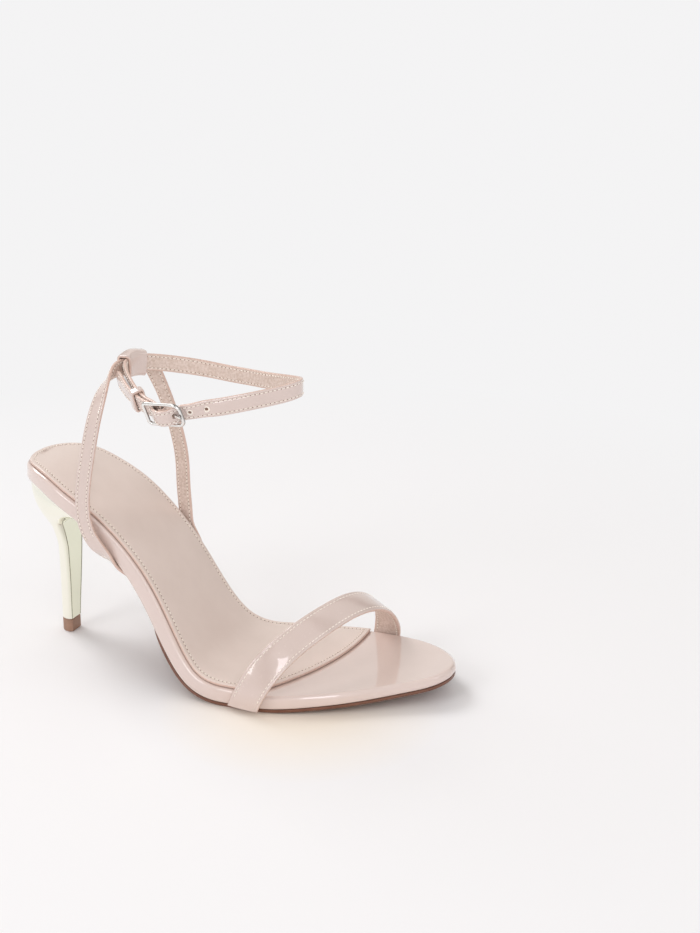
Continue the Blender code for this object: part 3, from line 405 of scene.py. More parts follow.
def add_seat_cap(verts, faces, start, n, across=6):
    """Close the heel's top row by row, so that it follows the seat."""
    rows = []
    for j in range(ROUND_BACK // 2):
        left, right = start + j, start + ROUND_BACK - j
        row = [left]
        for k in range(1, across):
            p = verts[left] + (verts[right] - verts[left]) * k / across
            row.append(len(verts))
            verts.append(np.array([p[0], p[1], float(seat_height(p[0]))]))
        rows.append(row + [right])
    for one, two in zip(rows[:-1], rows[1:]):
        for k in range(across):
            faces.append((one[k], one[k + 1], two[k + 1], two[k]))
    back = start + ROUND_BACK // 2
    for k in range(across):
        faces.append((rows[-1][k], rows[-1][k + 1], back))
    front = [start + k for k in range(ROUND_BACK + 1, n)]
    faces.append(tuple(rows[0] + front))


def tucked(rows):
    """Sling points beside the platform's lower edge, where its face turns down."""
    out = []
    for x, y, lift, turn in rows:
        x, y = x * SOLE_LENGTH, y * HALF_BALL
        angle = turn * math.pi / 2
        down = unit(np.array([float(slope(x)), 0.0, -1.0])) * math.sin(angle)
        p = on_sole(np.array(x), np.array(y), lift * STRAP_THICK)
        out.append([*p, down[0], math.copysign(math.cos(angle), y), down[2]])
    return out


_ring = curve(np.array(RING) * SPAN, closed=True)


def smooth(u):
    """From 0 to 1 with level ends."""
    u = min(max(u, 0.0), 1.0)
    return u * u * (3 - 2 * u)


def ring_frame(share):
    """Point, direction, up and outward on the ankle strap's line.

    Beside the buckle the strap's top edge leans outward.
    """
    p = _ring(share)
    along = unit(_ring(share + 2e-4) - _ring(share - 2e-4))
    out = unit(np.cross(along, np.array([0.0, 0.0, 1.0])))
    up = unit(np.cross(out, along))
    away = ((share - BUCKLE_AT + 0.5) % 1.0 - 0.5) * _ring.length
    reach = LEAN_REACH[0] if away < 0 else LEAN_REACH[1]
    u = (abs(away) - LEAN_CORE) / (reach - LEAN_CORE)
    lean = math.radians(BUCKLE_LEAN) * (1 - smooth(u))
    side, rise = math.sin(lean), math.cos(lean)
    return p, along, up * rise + out * side, out * rise - up * side


def ring_point(share, run, up, out):
    """A point given by its run along, rise and distance off the strap's line."""
    p, _, rise, off = ring_frame(share + run / _ring.length)
    return p + rise * up + off * out


LAYER = STRAP_THICK + GAP
BAR = WIRE / 2
FRAME_OFF = BAR + GAP + STRAP_THICK / 2 + LAYER  # frame's middle outside the strap's line
OVER_BAR = BAR + GAP + FOLD_THICK + GAP + STRAP_THICK / 2
BAR_REACH = (FRAME_LONG - WIRE) / 2
FOLD_RADIUS = BAR + GAP + FOLD_THICK / 2
SPLIT_AT = 0.0300  # the strap's two runs part this far ahead of the bar
FIFTHS = (0.2, 0.4, 0.6, 0.8, 1.0)
# Outer run of the ankle strap: run ahead of the centre bar, distance off the line
WEAVE = [
    (-0.0400, 2.0 * LAYER), (-0.0300, 1.85 * LAYER), (-0.0180, 1.25 * LAYER),
    (-BAR_REACH, LAYER), (0.0, FRAME_OFF + OVER_BAR), (BAR_REACH, LAYER),
    (0.0200, 0.25 * LAYER), (SPLIT_AT, 0.0),
]


def weave_off(run):
    """Distance of the outer run off the strap's line; it weaves through the buckle."""
    for (a, low), (b, high) in zip(WEAVE[:-1], WEAVE[1:]):
        if run <= b:
            return low + (high - low) * smooth((run - a) / (b - a))
    return 0.0


def fold_rows():
    """The inner end, folded round the centre bar: run, distance off, thickness."""
    low = FRAME_OFF - FOLD_RADIUS
    rows = [(FOLD_RADIUS * math.cos(a), FRAME_OFF + FOLD_RADIUS * math.sin(a), FOLD_THICK)
            for a in np.radians(np.linspace(110, -90, 11))]
    return rows + [(-BAR_REACH * u, low * (1 - smooth(u)),
                    FOLD_THICK + (STRAP_THICK - FOLD_THICK) * u) for u in FIFTHS]


def prong_rows():
    """Middle line of the prong: run ahead of the centre bar, distance off the frame."""
    radius = BAR + GAP + PRONG_THICK / 2
    rows = [(radius * math.cos(a), radius * math.sin(a))
            for a in np.radians(np.linspace(-270, PRONG_LEAVES, 14))]
    run, off = rows[-1]
    rise = (radius - off) / (BAR_REACH - run)
    length = BAR_REACH + PRONG_PAST - run
    return rows + [(run + length * u, off + rise * length * u) for u in FIFTHS]


def buckle_frame():
    p, along, up, out = ring_frame(BUCKLE_AT)
    return p + out * FRAME_OFF, along, up, out


def rounded(across, upward, radii, steps):
    """A rounded rectangle from its first quarter round; across and upward are (low, high)."""
    pts = []
    for k, radius in enumerate(radii):
        right, top = k in (0, 3), k in (0, 1)
        for a in np.radians(np.linspace(90 * k, 90 * k + 90, steps)):
            pts.append((across[right] + (-radius if right else radius) + radius * math.cos(a),
                        upward[top] + (-radius if top else radius) + radius * math.sin(a)))
    return pts


def loop_section(low_out, high_out, low_up, high_up, corner, crown):
    """A rounded rectangle as (out, up) pairs; crown lifts its top's middle."""
    middle, reach = (low_out + high_out) / 2, (high_out - low_out) / 2
    return [(o, u + (crown * (1 - ((o - middle) / reach) ** 2) if u > 0 else 0))
            for o, u in rounded((low_out, high_out), (low_up, high_up), [corner] * 4, 5)]


# Finer sections and steps than the solids have
SOLE_STEPS = 200
ROW_END = 0.0006  # the first row's share of the length, where the end is flat
OUTSOLE_END = 0.9994  # the outsole's last row
SEGMENTS = 6  # steps round an eased edge
STRAP_GROOVE = 0.00010  # where a strap's stitches draw it in
STRAP_CROWN = 0.00012
STRAP_EDGE = 0.00045  # radius of its edges
# Face, painted edge, lining and edge again, for the strips of a strap's section
STRIP_KINDS = [0] * 17 + [2] * 8 + [1] * 6 + [2] * 8 + [0] * 3
THREAD = 0.00046  # thread thickness
STITCH = 0.0014  # stitch length
STITCH_PITCH = 0.0020
STITCH_IN = 0.0013  # stitch lines inside a strap's edges
TOE_STITCH_IN = 0.0017
SOCK_STITCH_IN = 0.0024  # and inside the insole's edge
HOLE_SPOT = 0.00055  # needle hole's dark spot of painted shade
REFLECTION_LINE_ROWS = 76  # heel sections whose front corners carry a dark wire: a painted reflection line
REFLECTION_LINE_WIRE = 0.00042
COAT_ROUGHNESS = 0.02
COAT_IOR = 1.75
BUCKLE_WAY = tuple(ring_frame(BUCKLE_AT)[3])  # the way the buckle faces, toward which the silver's painted reflection is brightest

# The studio: share of the way round, brightness of the room's upright bands
STUDIO_BANDS = [
    (0.00, 0.95), (0.05, 0.30), (0.09, 1.00), (0.20, 0.90), (0.26, 0.25), (0.31, 1.00),
    (0.45, 1.00), (0.50, 0.20), (0.55, 1.00), (0.63, 0.95), (0.68, 0.15), (0.73, 1.00),
    (0.84, 0.95), (0.88, 0.25), (0.92, 1.00), (1.00, 0.95),
]
ROOM_STRENGTH = 0.83
HORIZON = (1.09, 1.085, 1.09, 1.0)
LIGHT_AIM = (0.08, 0.0, 0.03)
# Lights: place, sides, power, colour
LIGHTS = {
    "key": ((-1.05, 0.40, 1.5), (0.8, 0.8), 13.0, (0.985, 0.99, 1.0)),
    "fill": ((-0.6, -1.4, 0.9), (0.7, 0.7), 5.5, (1.0, 0.98, 1.0)),
    "strip": ((0.75, -1.2, 0.62), (0.30, 1.0), 3.2, (0.97, 0.93, 1.0)),
    "side": ((1.3, -0.1, 0.9), (0.7, 0.7), 1.6, (1.0, 0.99, 1.0)),
}
FLOOR_REACH = 60.0
FLOOR_MIDDLE = (0.10, 0.0, 0.0)  # the paper fades to white away from here
PAINTED_BOUNCE_MIDDLE = (0.140, -0.026, 0.0)  # and has painted warm bounce light round here, under the toe
FAR_WHITE = (0.905, 0.900, 0.905, 1.0)
PAPER, PAINTED_BOUNCE_PAPER = (0.875, 0.865, 0.875), (0.90, 0.82, 0.72)
# The camera, fitted to the photograph
SENSOR, LENS = 36.0, 55.495
CAMERA_AT = (0.3797427, -0.5586535, 0.3232718)
CAMERA_AIM = (-0.35657888, 0.87269621, -0.33354584)
CAMERA_ROLL = 1.024


# Materials


def put(node, **values):
    """Set a node's options, in lower case, or its sockets, with _ for a space."""
    for key, value in values.items():
        if key.islower():
            setattr(node, key, value)
        else:
            node.inputs[key.replace("_", " ")].default_value = value


def feed(tree, node, links):
    for socket, source in links.items():
        tree.links.new(source, node.inputs[socket])


def add_node(tree, kind, links, **values):
    node = tree.nodes.new("ShaderNode" + kind)
    put(node, **values)
    feed(tree, node, links)
    return node


def new_material(name):
    mat = bpy.data.materials.new(name)
    mat.use_nodes = True
    return mat, mat.node_tree, mat.node_tree.nodes["Principled BSDF"]


def noise(tree, scale, detail=3.0, rough=0.55):
    """A noise over the object's own metres; scale is per metre."""
    return add_node(tree, "TexNoise", {"Vector": own_place(tree, "Object")}, Scale=scale,
                    Detail=detail, Roughness=rough).outputs[0]


def own_place(tree, output):
    at = tree.nodes.get("at") or tree.nodes.new("ShaderNodeTexCoord")
    at.name = "at"
    return at.outputs[output]


def against(tree, operation, source, vector):
    """The distance to a fixed vector, or the product with it."""
    node = add_node(tree, "VectorMath", {0: source}, operation=operation)
    node.inputs[1].default_value = vector
    return node.outputs["Value"]


def ramp(tree, value, low, high):
    """value mapped to run from the first to the second (place, level) pair."""
    return add_node(tree, "MapRange", {"Value": value}, From_Min=low[0], To_Min=low[1],
                    From_Max=high[0], To_Max=high[1]).outputs["Result"]


def tint(tree, value, one, two):
    """A colour between one and two."""
    return add_node(tree, "Mix", {"Factor": value}, data_type="RGBA", A=(*one, 1.0),
                    B=(*two, 1.0)).outputs["Result"]


def finish_material(tree, shader, colour, rough, rows):
    """Link the colour, the roughness and a chain of bumps: (height, strength, distance)."""
    links = {}
    for height, strength, distance in rows:
        bump = add_node(tree, "Bump", {"Height": height, **links}, Strength=strength,
                        Distance=distance)
        links = {"Normal": bump.outputs["Normal"]}
    feed(tree, shader, {"Base Color": colour, "Roughness": rough, **links})


def leather(name, one, two, gloss, grain, grain_depth, coat=0.0, sheen=0.0,
            mottle=(60.0, 0.3, 0.7)):
    """Leather: two tones, a roughness range, and pores of grain per metre."""
    mat, tree, shader = new_material(name)
    scale, low, high = mottle
    shade = ramp(tree, noise(tree, scale, 4.0), (low, 0.0), (high, 1.0))
    rough = ramp(tree, noise(tree, grain * 0.35, 2.0), (0.3, gloss[0]), (0.7, gloss[1]))
    put(shader, Specular_IOR_Level=0.5, Coat_Weight=coat, Coat_Roughness=COAT_ROUGHNESS,
        Coat_IOR=COAT_IOR, Sheen_Weight=sheen, Sheen_Roughness=0.45)
    pores = add_node(tree, "TexVoronoi", {"Vector": own_place(tree, "Object")}, Scale=grain)
    finish_material(tree, shader, tint(tree, shade, one, two), rough, [
        (pores.outputs[0], grain_depth, 0.00010), (noise(tree, 140.0, 2.0), 0.10, 0.0008)])
    return mat


def metal(name, one, two, gloss, wave, wave_depth, way, span):
    """Plated metal with a painted reflection: toned by how far each face looks toward way, with
    hairlines and a slight wave.
    """
    mat, tree, shader = new_material(name)
    # Painted reflection: faces that look toward way take the second colour, the rest the first.
    reflection_facing = against(tree, "DOT_PRODUCT", own_place(tree, "Normal"), way)
    shade = ramp(tree, reflection_facing, (span[0], 0.0), (span[1], 1.0))
    both = add_node(tree, "Math", {0: noise(tree, 90.0), 2: shade}, operation="MULTIPLY_ADD")
    both.inputs[1].default_value = 0.15
    rough = ramp(tree, noise(tree, 900.0, 5.0), (0.35, gloss[0]), (0.75, gloss[1]))
    put(shader, Metallic=1.0)
    finish_material(tree, shader, tint(tree, both.outputs["Value"], one, two), rough, [
        (noise(tree, wave, 1.0), wave_depth, 0.0006), (noise(tree, 2600.0, 4.0), 0.02, 0.0001)])
    return mat


def rubber(name, one, two, gloss, streak):
    """Moulded rubber or varnished sole leather, with scuffs along the streaks' scale."""
    mat, tree, shader = new_material(name)
    shade = ramp(tree, noise(tree, streak, 6.0, 0.65), (0.30, 0.0), (0.72, 1.0))
    rough = ramp(tree, noise(tree, 500.0, 4.0), (0.3, gloss[0]), (0.7, gloss[1]))
    finish_material(tree, shader, tint(tree, shade, one, two), rough,
                    [(noise(tree, 1700.0, 3.0), 0.20, 0.00012)])
    return mat


MATS = {
    "patent": leather("patent", (0.690, 0.560, 0.510), (0.710, 0.580, 0.532), (0.22, 0.27),
                      2600.0, 0.002, coat=1.0),
    "strap": leather("strap_leather", (0.650, 0.525, 0.475), (0.670, 0.545, 0.497),
                     (0.22, 0.28), 2600.0, 0.003, coat=1.0),
    "satin": leather("satin", (0.700, 0.580, 0.520), (0.740, 0.620, 0.560), (0.36, 0.50),
                     3200.0, 0.08, coat=0.12, sheen=0.12),
    "lining": leather("lining", (0.600, 0.475, 0.400), (0.760, 0.635, 0.570), (0.50, 0.72),
                      1900.0, 0.40, mottle=(900.0, 0.36, 0.62)),
    "edge": leather("edge_paint_and_groove_shade", (0.640, 0.460, 0.385), (0.690, 0.510, 0.435),
                    (0.22, 0.38), 1500.0, 0.05),
    "thread": leather("thread", (0.880, 0.790, 0.700), (0.930, 0.860, 0.780), (0.45, 0.6),
                      6000.0, 0.30, sheen=0.2),
    # Dark colour of painted shade for needle holes and the insides of the spare holes.
    "hole": rubber("painted_hole_shade", (0.200, 0.120, 0.090), (0.260, 0.160, 0.120), (0.7, 0.9),
                   900.0),
    # Gold and silver carry a painted reflection, toned by the way each face looks.
    "gold": metal("gold", (0.965, 0.950, 0.850), (0.840, 0.850, 0.690), (0.03, 0.07),
                  45.0, 0.05, (1.0, 0.15, 0.0), (0.10, 0.95)),
    # Dark gold of the heel's corner wires: a painted reflection line.
    "reflection_line": metal("gold_reflection_line", (0.400, 0.385, 0.290), (0.300, 0.290, 0.210), (0.10, 0.20),
                  160.0, 0.05, (0.0, 0.0, 1.0), (0.0, 1.0)),
    "silver": metal("silver", (0.330, 0.320, 0.310), (0.860, 0.850, 0.830), (0.06, 0.16),
                    160.0, 0.06, BUCKLE_WAY, (0.25, 0.80)),
    "sole": rubber("sole", (0.150, 0.058, 0.034), (0.215, 0.095, 0.060), (0.28, 0.45), 160.0),
    "tip": rubber("tip", (0.290, 0.165, 0.110), (0.370, 0.215, 0.150), (0.40, 0.58), 260.0),
}


# Mesh helpers


def add_data(name, data):
    ob = bpy.data.objects.new(name, data)
    bpy.context.scene.collection.objects.link(ob)
    return ob


def add_object(name, verts, faces, mats, which=None, angle=40):
    """mats names materials of MATS; which gives each face's place among them."""
    mesh = bpy.data.meshes.new(name)
    mesh.from_pydata([tuple(map(float, v)) for v in verts], [], faces)
    for key in mats.split():
        mesh.materials.append(MATS[key])
    if which is not None:
        mesh.polygons.foreach_set("material_index", which)
    bm = bmesh.new()
    bm.from_mesh(mesh)
    bmesh.ops.remove_doubles(bm, verts=bm.verts, dist=2e-7)
    bmesh.ops.recalc_face_normals(bm, faces=bm.faces)
    if bm.calc_volume(signed=True) < 0:
        bmesh.ops.reverse_faces(bm, faces=bm.faces)
    bm.to_mesh(mesh)
    bm.free()
    mesh.shade_smooth()
    mesh.set_sharp_from_angle(angle=math.radians(angle))
    return add_data(name, mesh)


def place(ob, node):
    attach(ob, "root")
    if node:
        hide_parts(node)


def cut(target, cutters):
    """Cut the target by each cutter and remove the cutters."""
    for cutter in cutters:
        mod = target.modifiers.new("cut", "BOOLEAN")
        mod.operation = "DIFFERENCE"
        mod.solver = "EXACT"
        mod.object = cutter
    graph = bpy.context.evaluated_depsgraph_get()
    mesh = bpy.data.meshes.new_from_object(target.evaluated_get(graph))
    target.modifiers.clear()
    target.data = mesh
    for cutter in cutters:
        bpy.data.objects.remove(cutter, do_unlink=True)


def circle(p, a, b, radius, count):
    """Points round p, from the way a toward the way b."""
    return [p + radius * (a * math.cos(q) + b * math.sin(q))
            for q in np.linspace(0, 2 * math.pi, count + 1)[:-1]]


def end_faces(rings, n):
    return [tuple(range(n)), tuple(range((rings - 1) * n, rings * n))]


def loft(name, rings, mats, closed=False, which=None, cap=0, angle=40):
    """Skin rings of equal count; which gives the material of each strip round a ring."""
    n = len(rings[0])
    faces = skin_faces(len(rings), n, closed)
    kinds = (which or [0] * n) * (len(faces) // n)
    if not closed:
        faces += end_faces(len(rings), n)
        kinds += [cap, cap]
    return add_object(name, [p for ring in rings for p in ring], faces, mats, kinds, angle)


def sleeve(name, outer, inner, mats):
    """A tube with a wall, open at both ends: its outside, inside and rims."""
    n, stations = len(outer[0]), len(outer)
    inside = stations * n
    faces = skin_faces(stations, n, False)
    kinds = [0] * len(faces) + [1] * len(faces) + [2] * 2 * n
    faces += [tuple(inside + v for v in f) for f in faces]
    for a in (0, inside - n):
        for j in range(n):
            k = (j + 1) % n
            faces.append((a + j, a + k, inside + a + k, inside + a + j))
    return add_object(name, [p for ring in outer + inner for p in ring], faces, mats, kinds)


def capsule(p, along, out):
    """A stitch: a thread's short run that dips into the leather at both ends."""
    side = unit(np.cross(out, along))
    return [circle(p + along * (s * STITCH / 2)
                   + out * THREAD * (0.28 * (1 - s ** 4) - 0.30 * s ** 6),
                   side, out, THREAD / 2 * (1 - 0.55 * s ** 6), 6)
            for s in (-1.0, -0.82, -0.4, 0.0, 0.4, 0.82, 1.0)]


def painted_hole_shade(p, along, out):
    """A dark dimple of painted shade where the thread goes in, nearly flush with the leather."""
    side = unit(np.cross(out, along))
    return [circle(p + out * rise, side, along, size, 8)
            for size, rise in ((HOLE_SPOT / 2, -0.00006), (HOLE_SPOT / 2.1, 0.00002),
                               (HOLE_SPOT / 5, 0.00003))]


def row_at(at, run, rows):
    """The rows' values at a run along them."""
    return np.array([np.interp(at, run, rows[:, c]) for c in range(rows.shape[1])])


def stitches(name, lines):
    """Rows of stitches; each line is (points, ways out of the surface)."""
    verts, faces, kinds = [], [], []
    for pts, outs in lines:
        run = run_length(pts)
        count = max(int(run[-1] / STITCH_PITCH), 1)
        for k in range(count):
            at = (k + 0.5) * run[-1] / count
            before, p, after, gap = (row_at(at + d, run, pts) for d in
                                     (-STITCH / 2, 0, STITCH / 2, STITCH_PITCH / 2))
            out, way = unit(row_at(at, run, outs)), unit(after - before)
            out = unit(out - way * np.dot(out, way))
            for kind, rings in enumerate((capsule(p, way, out), painted_hole_shade(gap, way, out))):
                start, n = len(verts), len(rings[0])
                verts += [q for ring in rings for q in ring]
                new = skin_faces(len(rings), n, False) + end_faces(len(rings), n)
                faces += [tuple(start + v for v in f) for f in new]
                kinds += [kind] * len(new)
    place(add_object(name, verts, faces, "thread hole", kinds), None)


def eased(width, thick, radius, groove, crown):
    """A strap's section, from its face round to its back and up again."""
    w, t = width / 2, thick / 2
    c = min(radius, 0.9 * t, 0.3 * w)
    line = max(w - STITCH_IN, 0.5 * w)
    d = min(0.00022, 0.15 * line)
    half = [line * 0.45, line - 2.2 * d, line - d, line, line + d, min(line + 2.2 * d, w - c)]
    spots = [-(w - c)] + [-a for a in half[::-1]] + [0.0] + half + [w - c]
    points = []
    for a in spots:
        dip = groove * math.exp(-((abs(a) - line) / d) ** 2)
        points.append((a, t - dip + crown * max(0.0, 1 - (a / (w - c)) ** 2)))
    turn = [(w - c + c * math.sin(q), (t - c) * np.sign(math.cos(q)) + c * math.cos(q))
            for q in np.linspace(0, math.pi, 2 * SEGMENTS)[1:-1]]
    return (points + turn + [((w - c) * (1 - k / 3), -t) for k in range(7)]
            + [(-a, -b) for a, b in turn])


def ribbon(name, pts, looks, widths, thicks, mats, wide=None, groove=STRAP_GROOVE,
           crown=STRAP_CROWN, radius=STRAP_EDGE):
    """A strap along pts whose face looks the given way; also its ways across and out."""
    along = unit(np.gradient(pts, axis=0))
    if wide is None:
        face = unit(looks - along * np.sum(looks * along, axis=1, keepdims=True))
        wide = unit(np.cross(along, face))
    else:
        face = unit(np.cross(along, wide))
        face *= np.sign(np.sum(face * looks, axis=1, keepdims=True))
    rings = [[p + w * a + f * b for a, b in eased(width, thick, radius, groove, crown)]
             for p, w, f, width, thick in zip(pts, wide, face, widths, thicks)]
    return loft(name, rings, mats, which=STRIP_KINDS, cap=2), wide, face


def strap(name, node, pts, looks, widths, thicks, ends, inset=STITCH_IN, punches=None, **section):
    """A lined strap; returns the stitch lines near its edges, on its face and its back."""
    ob, wide, face = ribbon(name, pts, looks, widths, thicks, "strap lining edge", **section)
    if punches:
        cut(ob, punches())
    place(ob, node)
    lines = []
    part_of = slice(*ends)
    for side in (-1, 1):
        for back in (1, -1):
            a = side * (widths / 2 - inset)[part_of, None]
            b = back * (thicks / 2)[part_of, None]
            line = pts[part_of] + wide[part_of] * a + face[part_of] * (b - back * 0.00002)
            lines.append((line, face[part_of] * back))
    return lines


# The sole


def slab(name, sides, rings, mats, across, crown=lambda *_: 0.0, bow=lambda _: 0.0, which=None):
    """Rings between the sides, closed by rows across. A ring is its inset, then its lift as
    parts of the platform's thickness, of a metre and of the edge's easing. crown lifts the
    last ring's rows, bow moves their middles forward, which gives the rings' materials."""
    plans = [sides(ring[0]) for ring in rings]
    n, last = len(plans[0][0]), len(rings) - 1
    verts, index = [], {}
    for r, (_, whole, metres, easing) in enumerate(rings):
        for i in range(n):
            o, e = plans[r][0][i], plans[r][1][i]
            for k in range(0, across + 1, 1 if r in (0, last) or i in (0, n - 1) else across):
                b = k / across
                xy = o + (e - o) * b + np.array([bow(i / (n - 1)) * 4 * b * (1 - b), 0.0])
                lift = whole * thickness(xy[0]) + metres - easing * edge_ease(xy[0])
                if r == last:
                    lift += crown(xy[0], 2 * b - 1, i / (n - 1))
                index[r, i, k] = len(verts)
                verts.append(on_sole(np.array(xy[0]), np.array(xy[1]), lift))
    which = which or [0] * (last + 2)
    up, ahead, over = (1, 0, 0), (0, 1, 0), (0, 0, 1)
    quads = [((r, i, k), ahead, up, which[r + 1])
             for r in range(last) for i in range(n - 1) for k in (0, across)]
    quads += [((r, i, k), over, up, which[r + 1])
              for r in range(last) for i in (0, n - 1) for k in range(across)]
    quads += [((r, i, k), over, ahead, kind) for r, kind in ((0, which[0]), (last, which[-1]))
              for i in range(n - 1) for k in range(across)]
    faces = [[index[tuple(a + f * b + g * c for a, b, c in zip(at, one, two))]
              for f, g in ((0, 0), (1, 0), (1, 1), (0, 1))] for at, one, two, _ in quads]
    return add_object(name, verts, faces, mats, [quad[-1] for quad in quads], angle=50)


def build_board():
    """The wrapped platform with its eased upper edge."""
    rings = [(0.0060, 0, 0, 0), (0.0009, 0, 0, 0), (0.0004, 0, 0.00015, 0),
             (0.0001, 0, 0.0006, 0), (0.0, 0, 0.0013, 0), (0.0, 1, 0, 1)]
    for a in np.linspace(0, math.pi / 2, 8)[1:]:
        rings.append((0.0017 * (1 - math.cos(a)) * 0.94, 1, 0, 1 - math.sin(a)))
    rings.append((0.0017, 1, 0, 0))
    t = np.linspace(0, 1, SOLE_STEPS)
    shares = ROW_END + (1 - 2 * ROW_END) * (1 - np.cos(math.pi * t)) / 2
    ob = slab("platform_wrap", side_rows(shares, lambda x, y: 0 * x), rings, "patent", across=10)
    place(ob, "insole_board")


def sock_pad(x, across, row):
    """Padding over the middle, sinking to a hollow under the heel."""
    pad = SOCK_CROWN * np.clip((1 - row) / 0.12, 0, 1)
    dip = SEAT_DIP * np.clip((0.34 - row) / 0.34, 0, 1) * np.clip(row / 0.08, 0, 1)
    return (pad - dip) * (1 - across ** 2)


def sock_sides(shares):
    return side_rows(ROW_END + (1 - ROW_END) * shares, lambda x, y: SOCK_INSET + 0 * x,
                     front=SOCK_FRONT)


def sock_bow(row):
    return SOCK_BOW * max(0.0, 2 * row - 1) ** 2


def build_sock():
    t = np.linspace(0, 1, SOLE_STEPS)
    shares = END_CROWDING * (1 - np.cos(math.pi * t / 2)) + (1 - END_CROWDING) * t ** 2
    # Inset and drop below the top: the skived edge, its easing and the sewn channel
    rows = [(0.0030, SOCK), (0.0003, SOCK), (0.0, SOCK - 0.0004), (0.0, 0.0006),
            (0.0001, 0.00035), (0.0003, 0.00015), (0.0007, 0.00003), (0.0010, 0.0),
            (0.0016, 0.00003), (0.0020, 0.00012), (0.0024, 0.00022), (0.0028, 0.00010),
            (0.0033, 0.0)]
    rings = [(inset, 1, GAP + SOCK - drop, 0) for inset, drop in rows]
    # Its sides take the darker edge colour: edge paint, and painted shade of the groove along the
    # insole's edge.
    ob = slab("sock_pad", sock_sides(shares), rings, "satin edge", 24, sock_pad, sock_bow,
              which=[1] * 5 + [0] * 9)
    place(ob, "sock")
    stitches("sock_stitches", sock_stitch_lines(ob))


def sock_stitch_lines(sock):
    """The stitch line all round the insole, and across its front, laid on its skin."""
    skin = BVHTree.FromObject(sock, bpy.context.evaluated_depsgraph_get())
    one, two = sock_sides(np.linspace(0, 1, 400) ** 1.5)(SOCK_STITCH_IN)
    rear = [one[0] + (two[0] - one[0]) * b for b in np.linspace(0, 1, 8)]
    front = [one[-1] + (two[-1] - one[-1]) * b + np.array([sock_bow(1) * 4 * b * (1 - b), 0])
             for b in np.linspace(0, 1, 60)]
    lines = []
    for row in (np.vstack([one[::-1], rear[1:-1], two]), np.array(front)):
        x, y = row.T
        above = on_sole(x, y, thickness(x) + GAP + SOCK + 0.004)
        up = unit(on_sole(x, y, 1.0) - on_sole(x, y, 0.0))
        top = np.array([skin.ray_cast(Vector(p), Vector(-u))[0] or p for p, u in zip(above, up)])
        lines.append((top + up * 0.00010, up))
    return lines


def build_outsole():
    t = np.linspace(0, 1, SOLE_STEPS)
    shares = END_CROWDING * np.sin(math.pi * t / 2) + (1 - END_CROWDING) * (1 - (1 - t) ** 2)
    shares[-1] = OUTSOLE_END
    rows = [(0.0030, -OUTSOLE), (0.0006, -OUTSOLE), (0.0002, 0.0002 - OUTSOLE),
            (0.0, 0.0005 - OUTSOLE), (0.0, 0.0), (0.0030, 0.0)]
    ob = slab("outsole_leaf", side_rows(shares, outsole_inset, rear=OUTSOLE_REAR),
              [(inset, 0, lift - GAP, 0) for inset, lift in rows], "sole", across=6)
    place(ob, "outsole")


# The heel


def build_heel():
    rows = np.array(HEEL_ROWS)
    at = spline(np.arange(len(rows)), rows)
    rings = []
    for s in np.linspace(0, len(rows) - 1, 8 * (len(rows) - 1) + 1):
        rear_z, rear, front_z, front, half, seat = at(s)
        rings.append(heel_ring(rear * SEAT_HALF, rear_z * SEAT_RISE, front * SEAT_HALF,
                               front_z * SEAT_RISE, half * SEAT_HALF,
                               float(np.clip(seat, 0, 1)), (1 - rear_z) * SEAT_RISE))
    rear, front, half = (v * SEAT_HALF for v in HEEL_TOP)
    rings.append(heel_ring(rear, 0, front, 0, half, 1.0, 0.0005))
    rings.append(heel_ring(rear + 0.0004, 0, front - 0.0003, 0, half - 0.0005, 1.0, 0.0))
    n = len(rings[0])
    verts = [p for ring in rings for p in ring]
    faces = skin_faces(len(rings), n, False)
    faces.append(tuple(range(n)))
    add_seat_cap(verts, faces, (len(rings) - 1) * n, n)
    place(add_object("heel_shell", verts, faces, "gold", angle=34), "heel")
    # Dark gold wires along the heel's front corners: a painted reflection line.
    for name, corner in (("heel_reflection_line_outer", 0), ("heel_reflection_line_inner", ROUND_BACK)):
        line = np.array([ring[corner] for ring in rings[:REFLECTION_LINE_ROWS]])
        along = unit(np.gradient(line, axis=0))
        side = unit(np.cross(along, np.array([0.0, 1.0, 0.0])))
        wire = [circle(p, a, b, REFLECTION_LINE_WIRE / 2, 8)
                for p, a, b in zip(line, side, np.cross(along, side))]
        place(loft(name, wire, "reflection_line"), None)


def build_heel_tip():
    rear, front, half = (HEEL_ROWS[0][k] * SEAT_HALF for k in (1, 3, 4))
    rings = []
    for z, grow in ((0.0, -0.0005), (0.0002, -0.0001), (0.0005, 0.0), (TIP_HEIGHT - 0.0002, 0.0),
                    (TIP_HEIGHT, -0.0002)):
        plan = heel_section(rear - grow, front + grow, half + grow)
        rings.append(np.column_stack([plan, np.full(len(plan), z)]))
    place(loft("tip_block", rings, "tip", angle=34), "heel_tip")


# Straps


def build_toe_strap():
    rows = np.array(TOE_STRAP)
    across = rows[:, 0] * HALF_BALL
    edges = [np.column_stack([rows[:, k] * SOLE_LENGTH, across, rows[:, k + 1] * TOE_ARCH])
             for k in (1, 3)]
    knots = run_length((edges[0] + edges[1]) / 2)
    both = spline(knots, np.hstack(edges))(np.linspace(0, knots[-1], 160))
    rear, front = both[:, :3], both[:, 3:]
    pts = (rear + front) / 2
    lines = strap("toe_band", "toe_strap", pts, np.cross(front - rear, np.gradient(pts, axis=0)),
                  np.linalg.norm(front - rear, axis=1), np.full(len(pts), TOE_STRAP_THICK),
                  (6, -6), TOE_STITCH_IN, wide=unit(front - rear), crown=0.00025, radius=0.0007)
    stitches("toe_band_stitches", lines)


def build_sling():
    free = np.array(SLING)
    free[:, :3] *= SPAN
    rows = np.vstack([tucked(SLING_TUCK_OUTER), free, tucked(SLING_TUCK_INNER)])
    rows[:, 3:] = unit(rows[:, 3:])
    full = curve(rows)(np.linspace(0, 1, 320))
    lines = strap("sling_band", "sling_strap", full[:, :3], full[:, 3:],
                  np.full(len(full), SLING_WIDTH), np.full(len(full), STRAP_THICK), (30, -24))
    stitches("sling_stitches", lines)


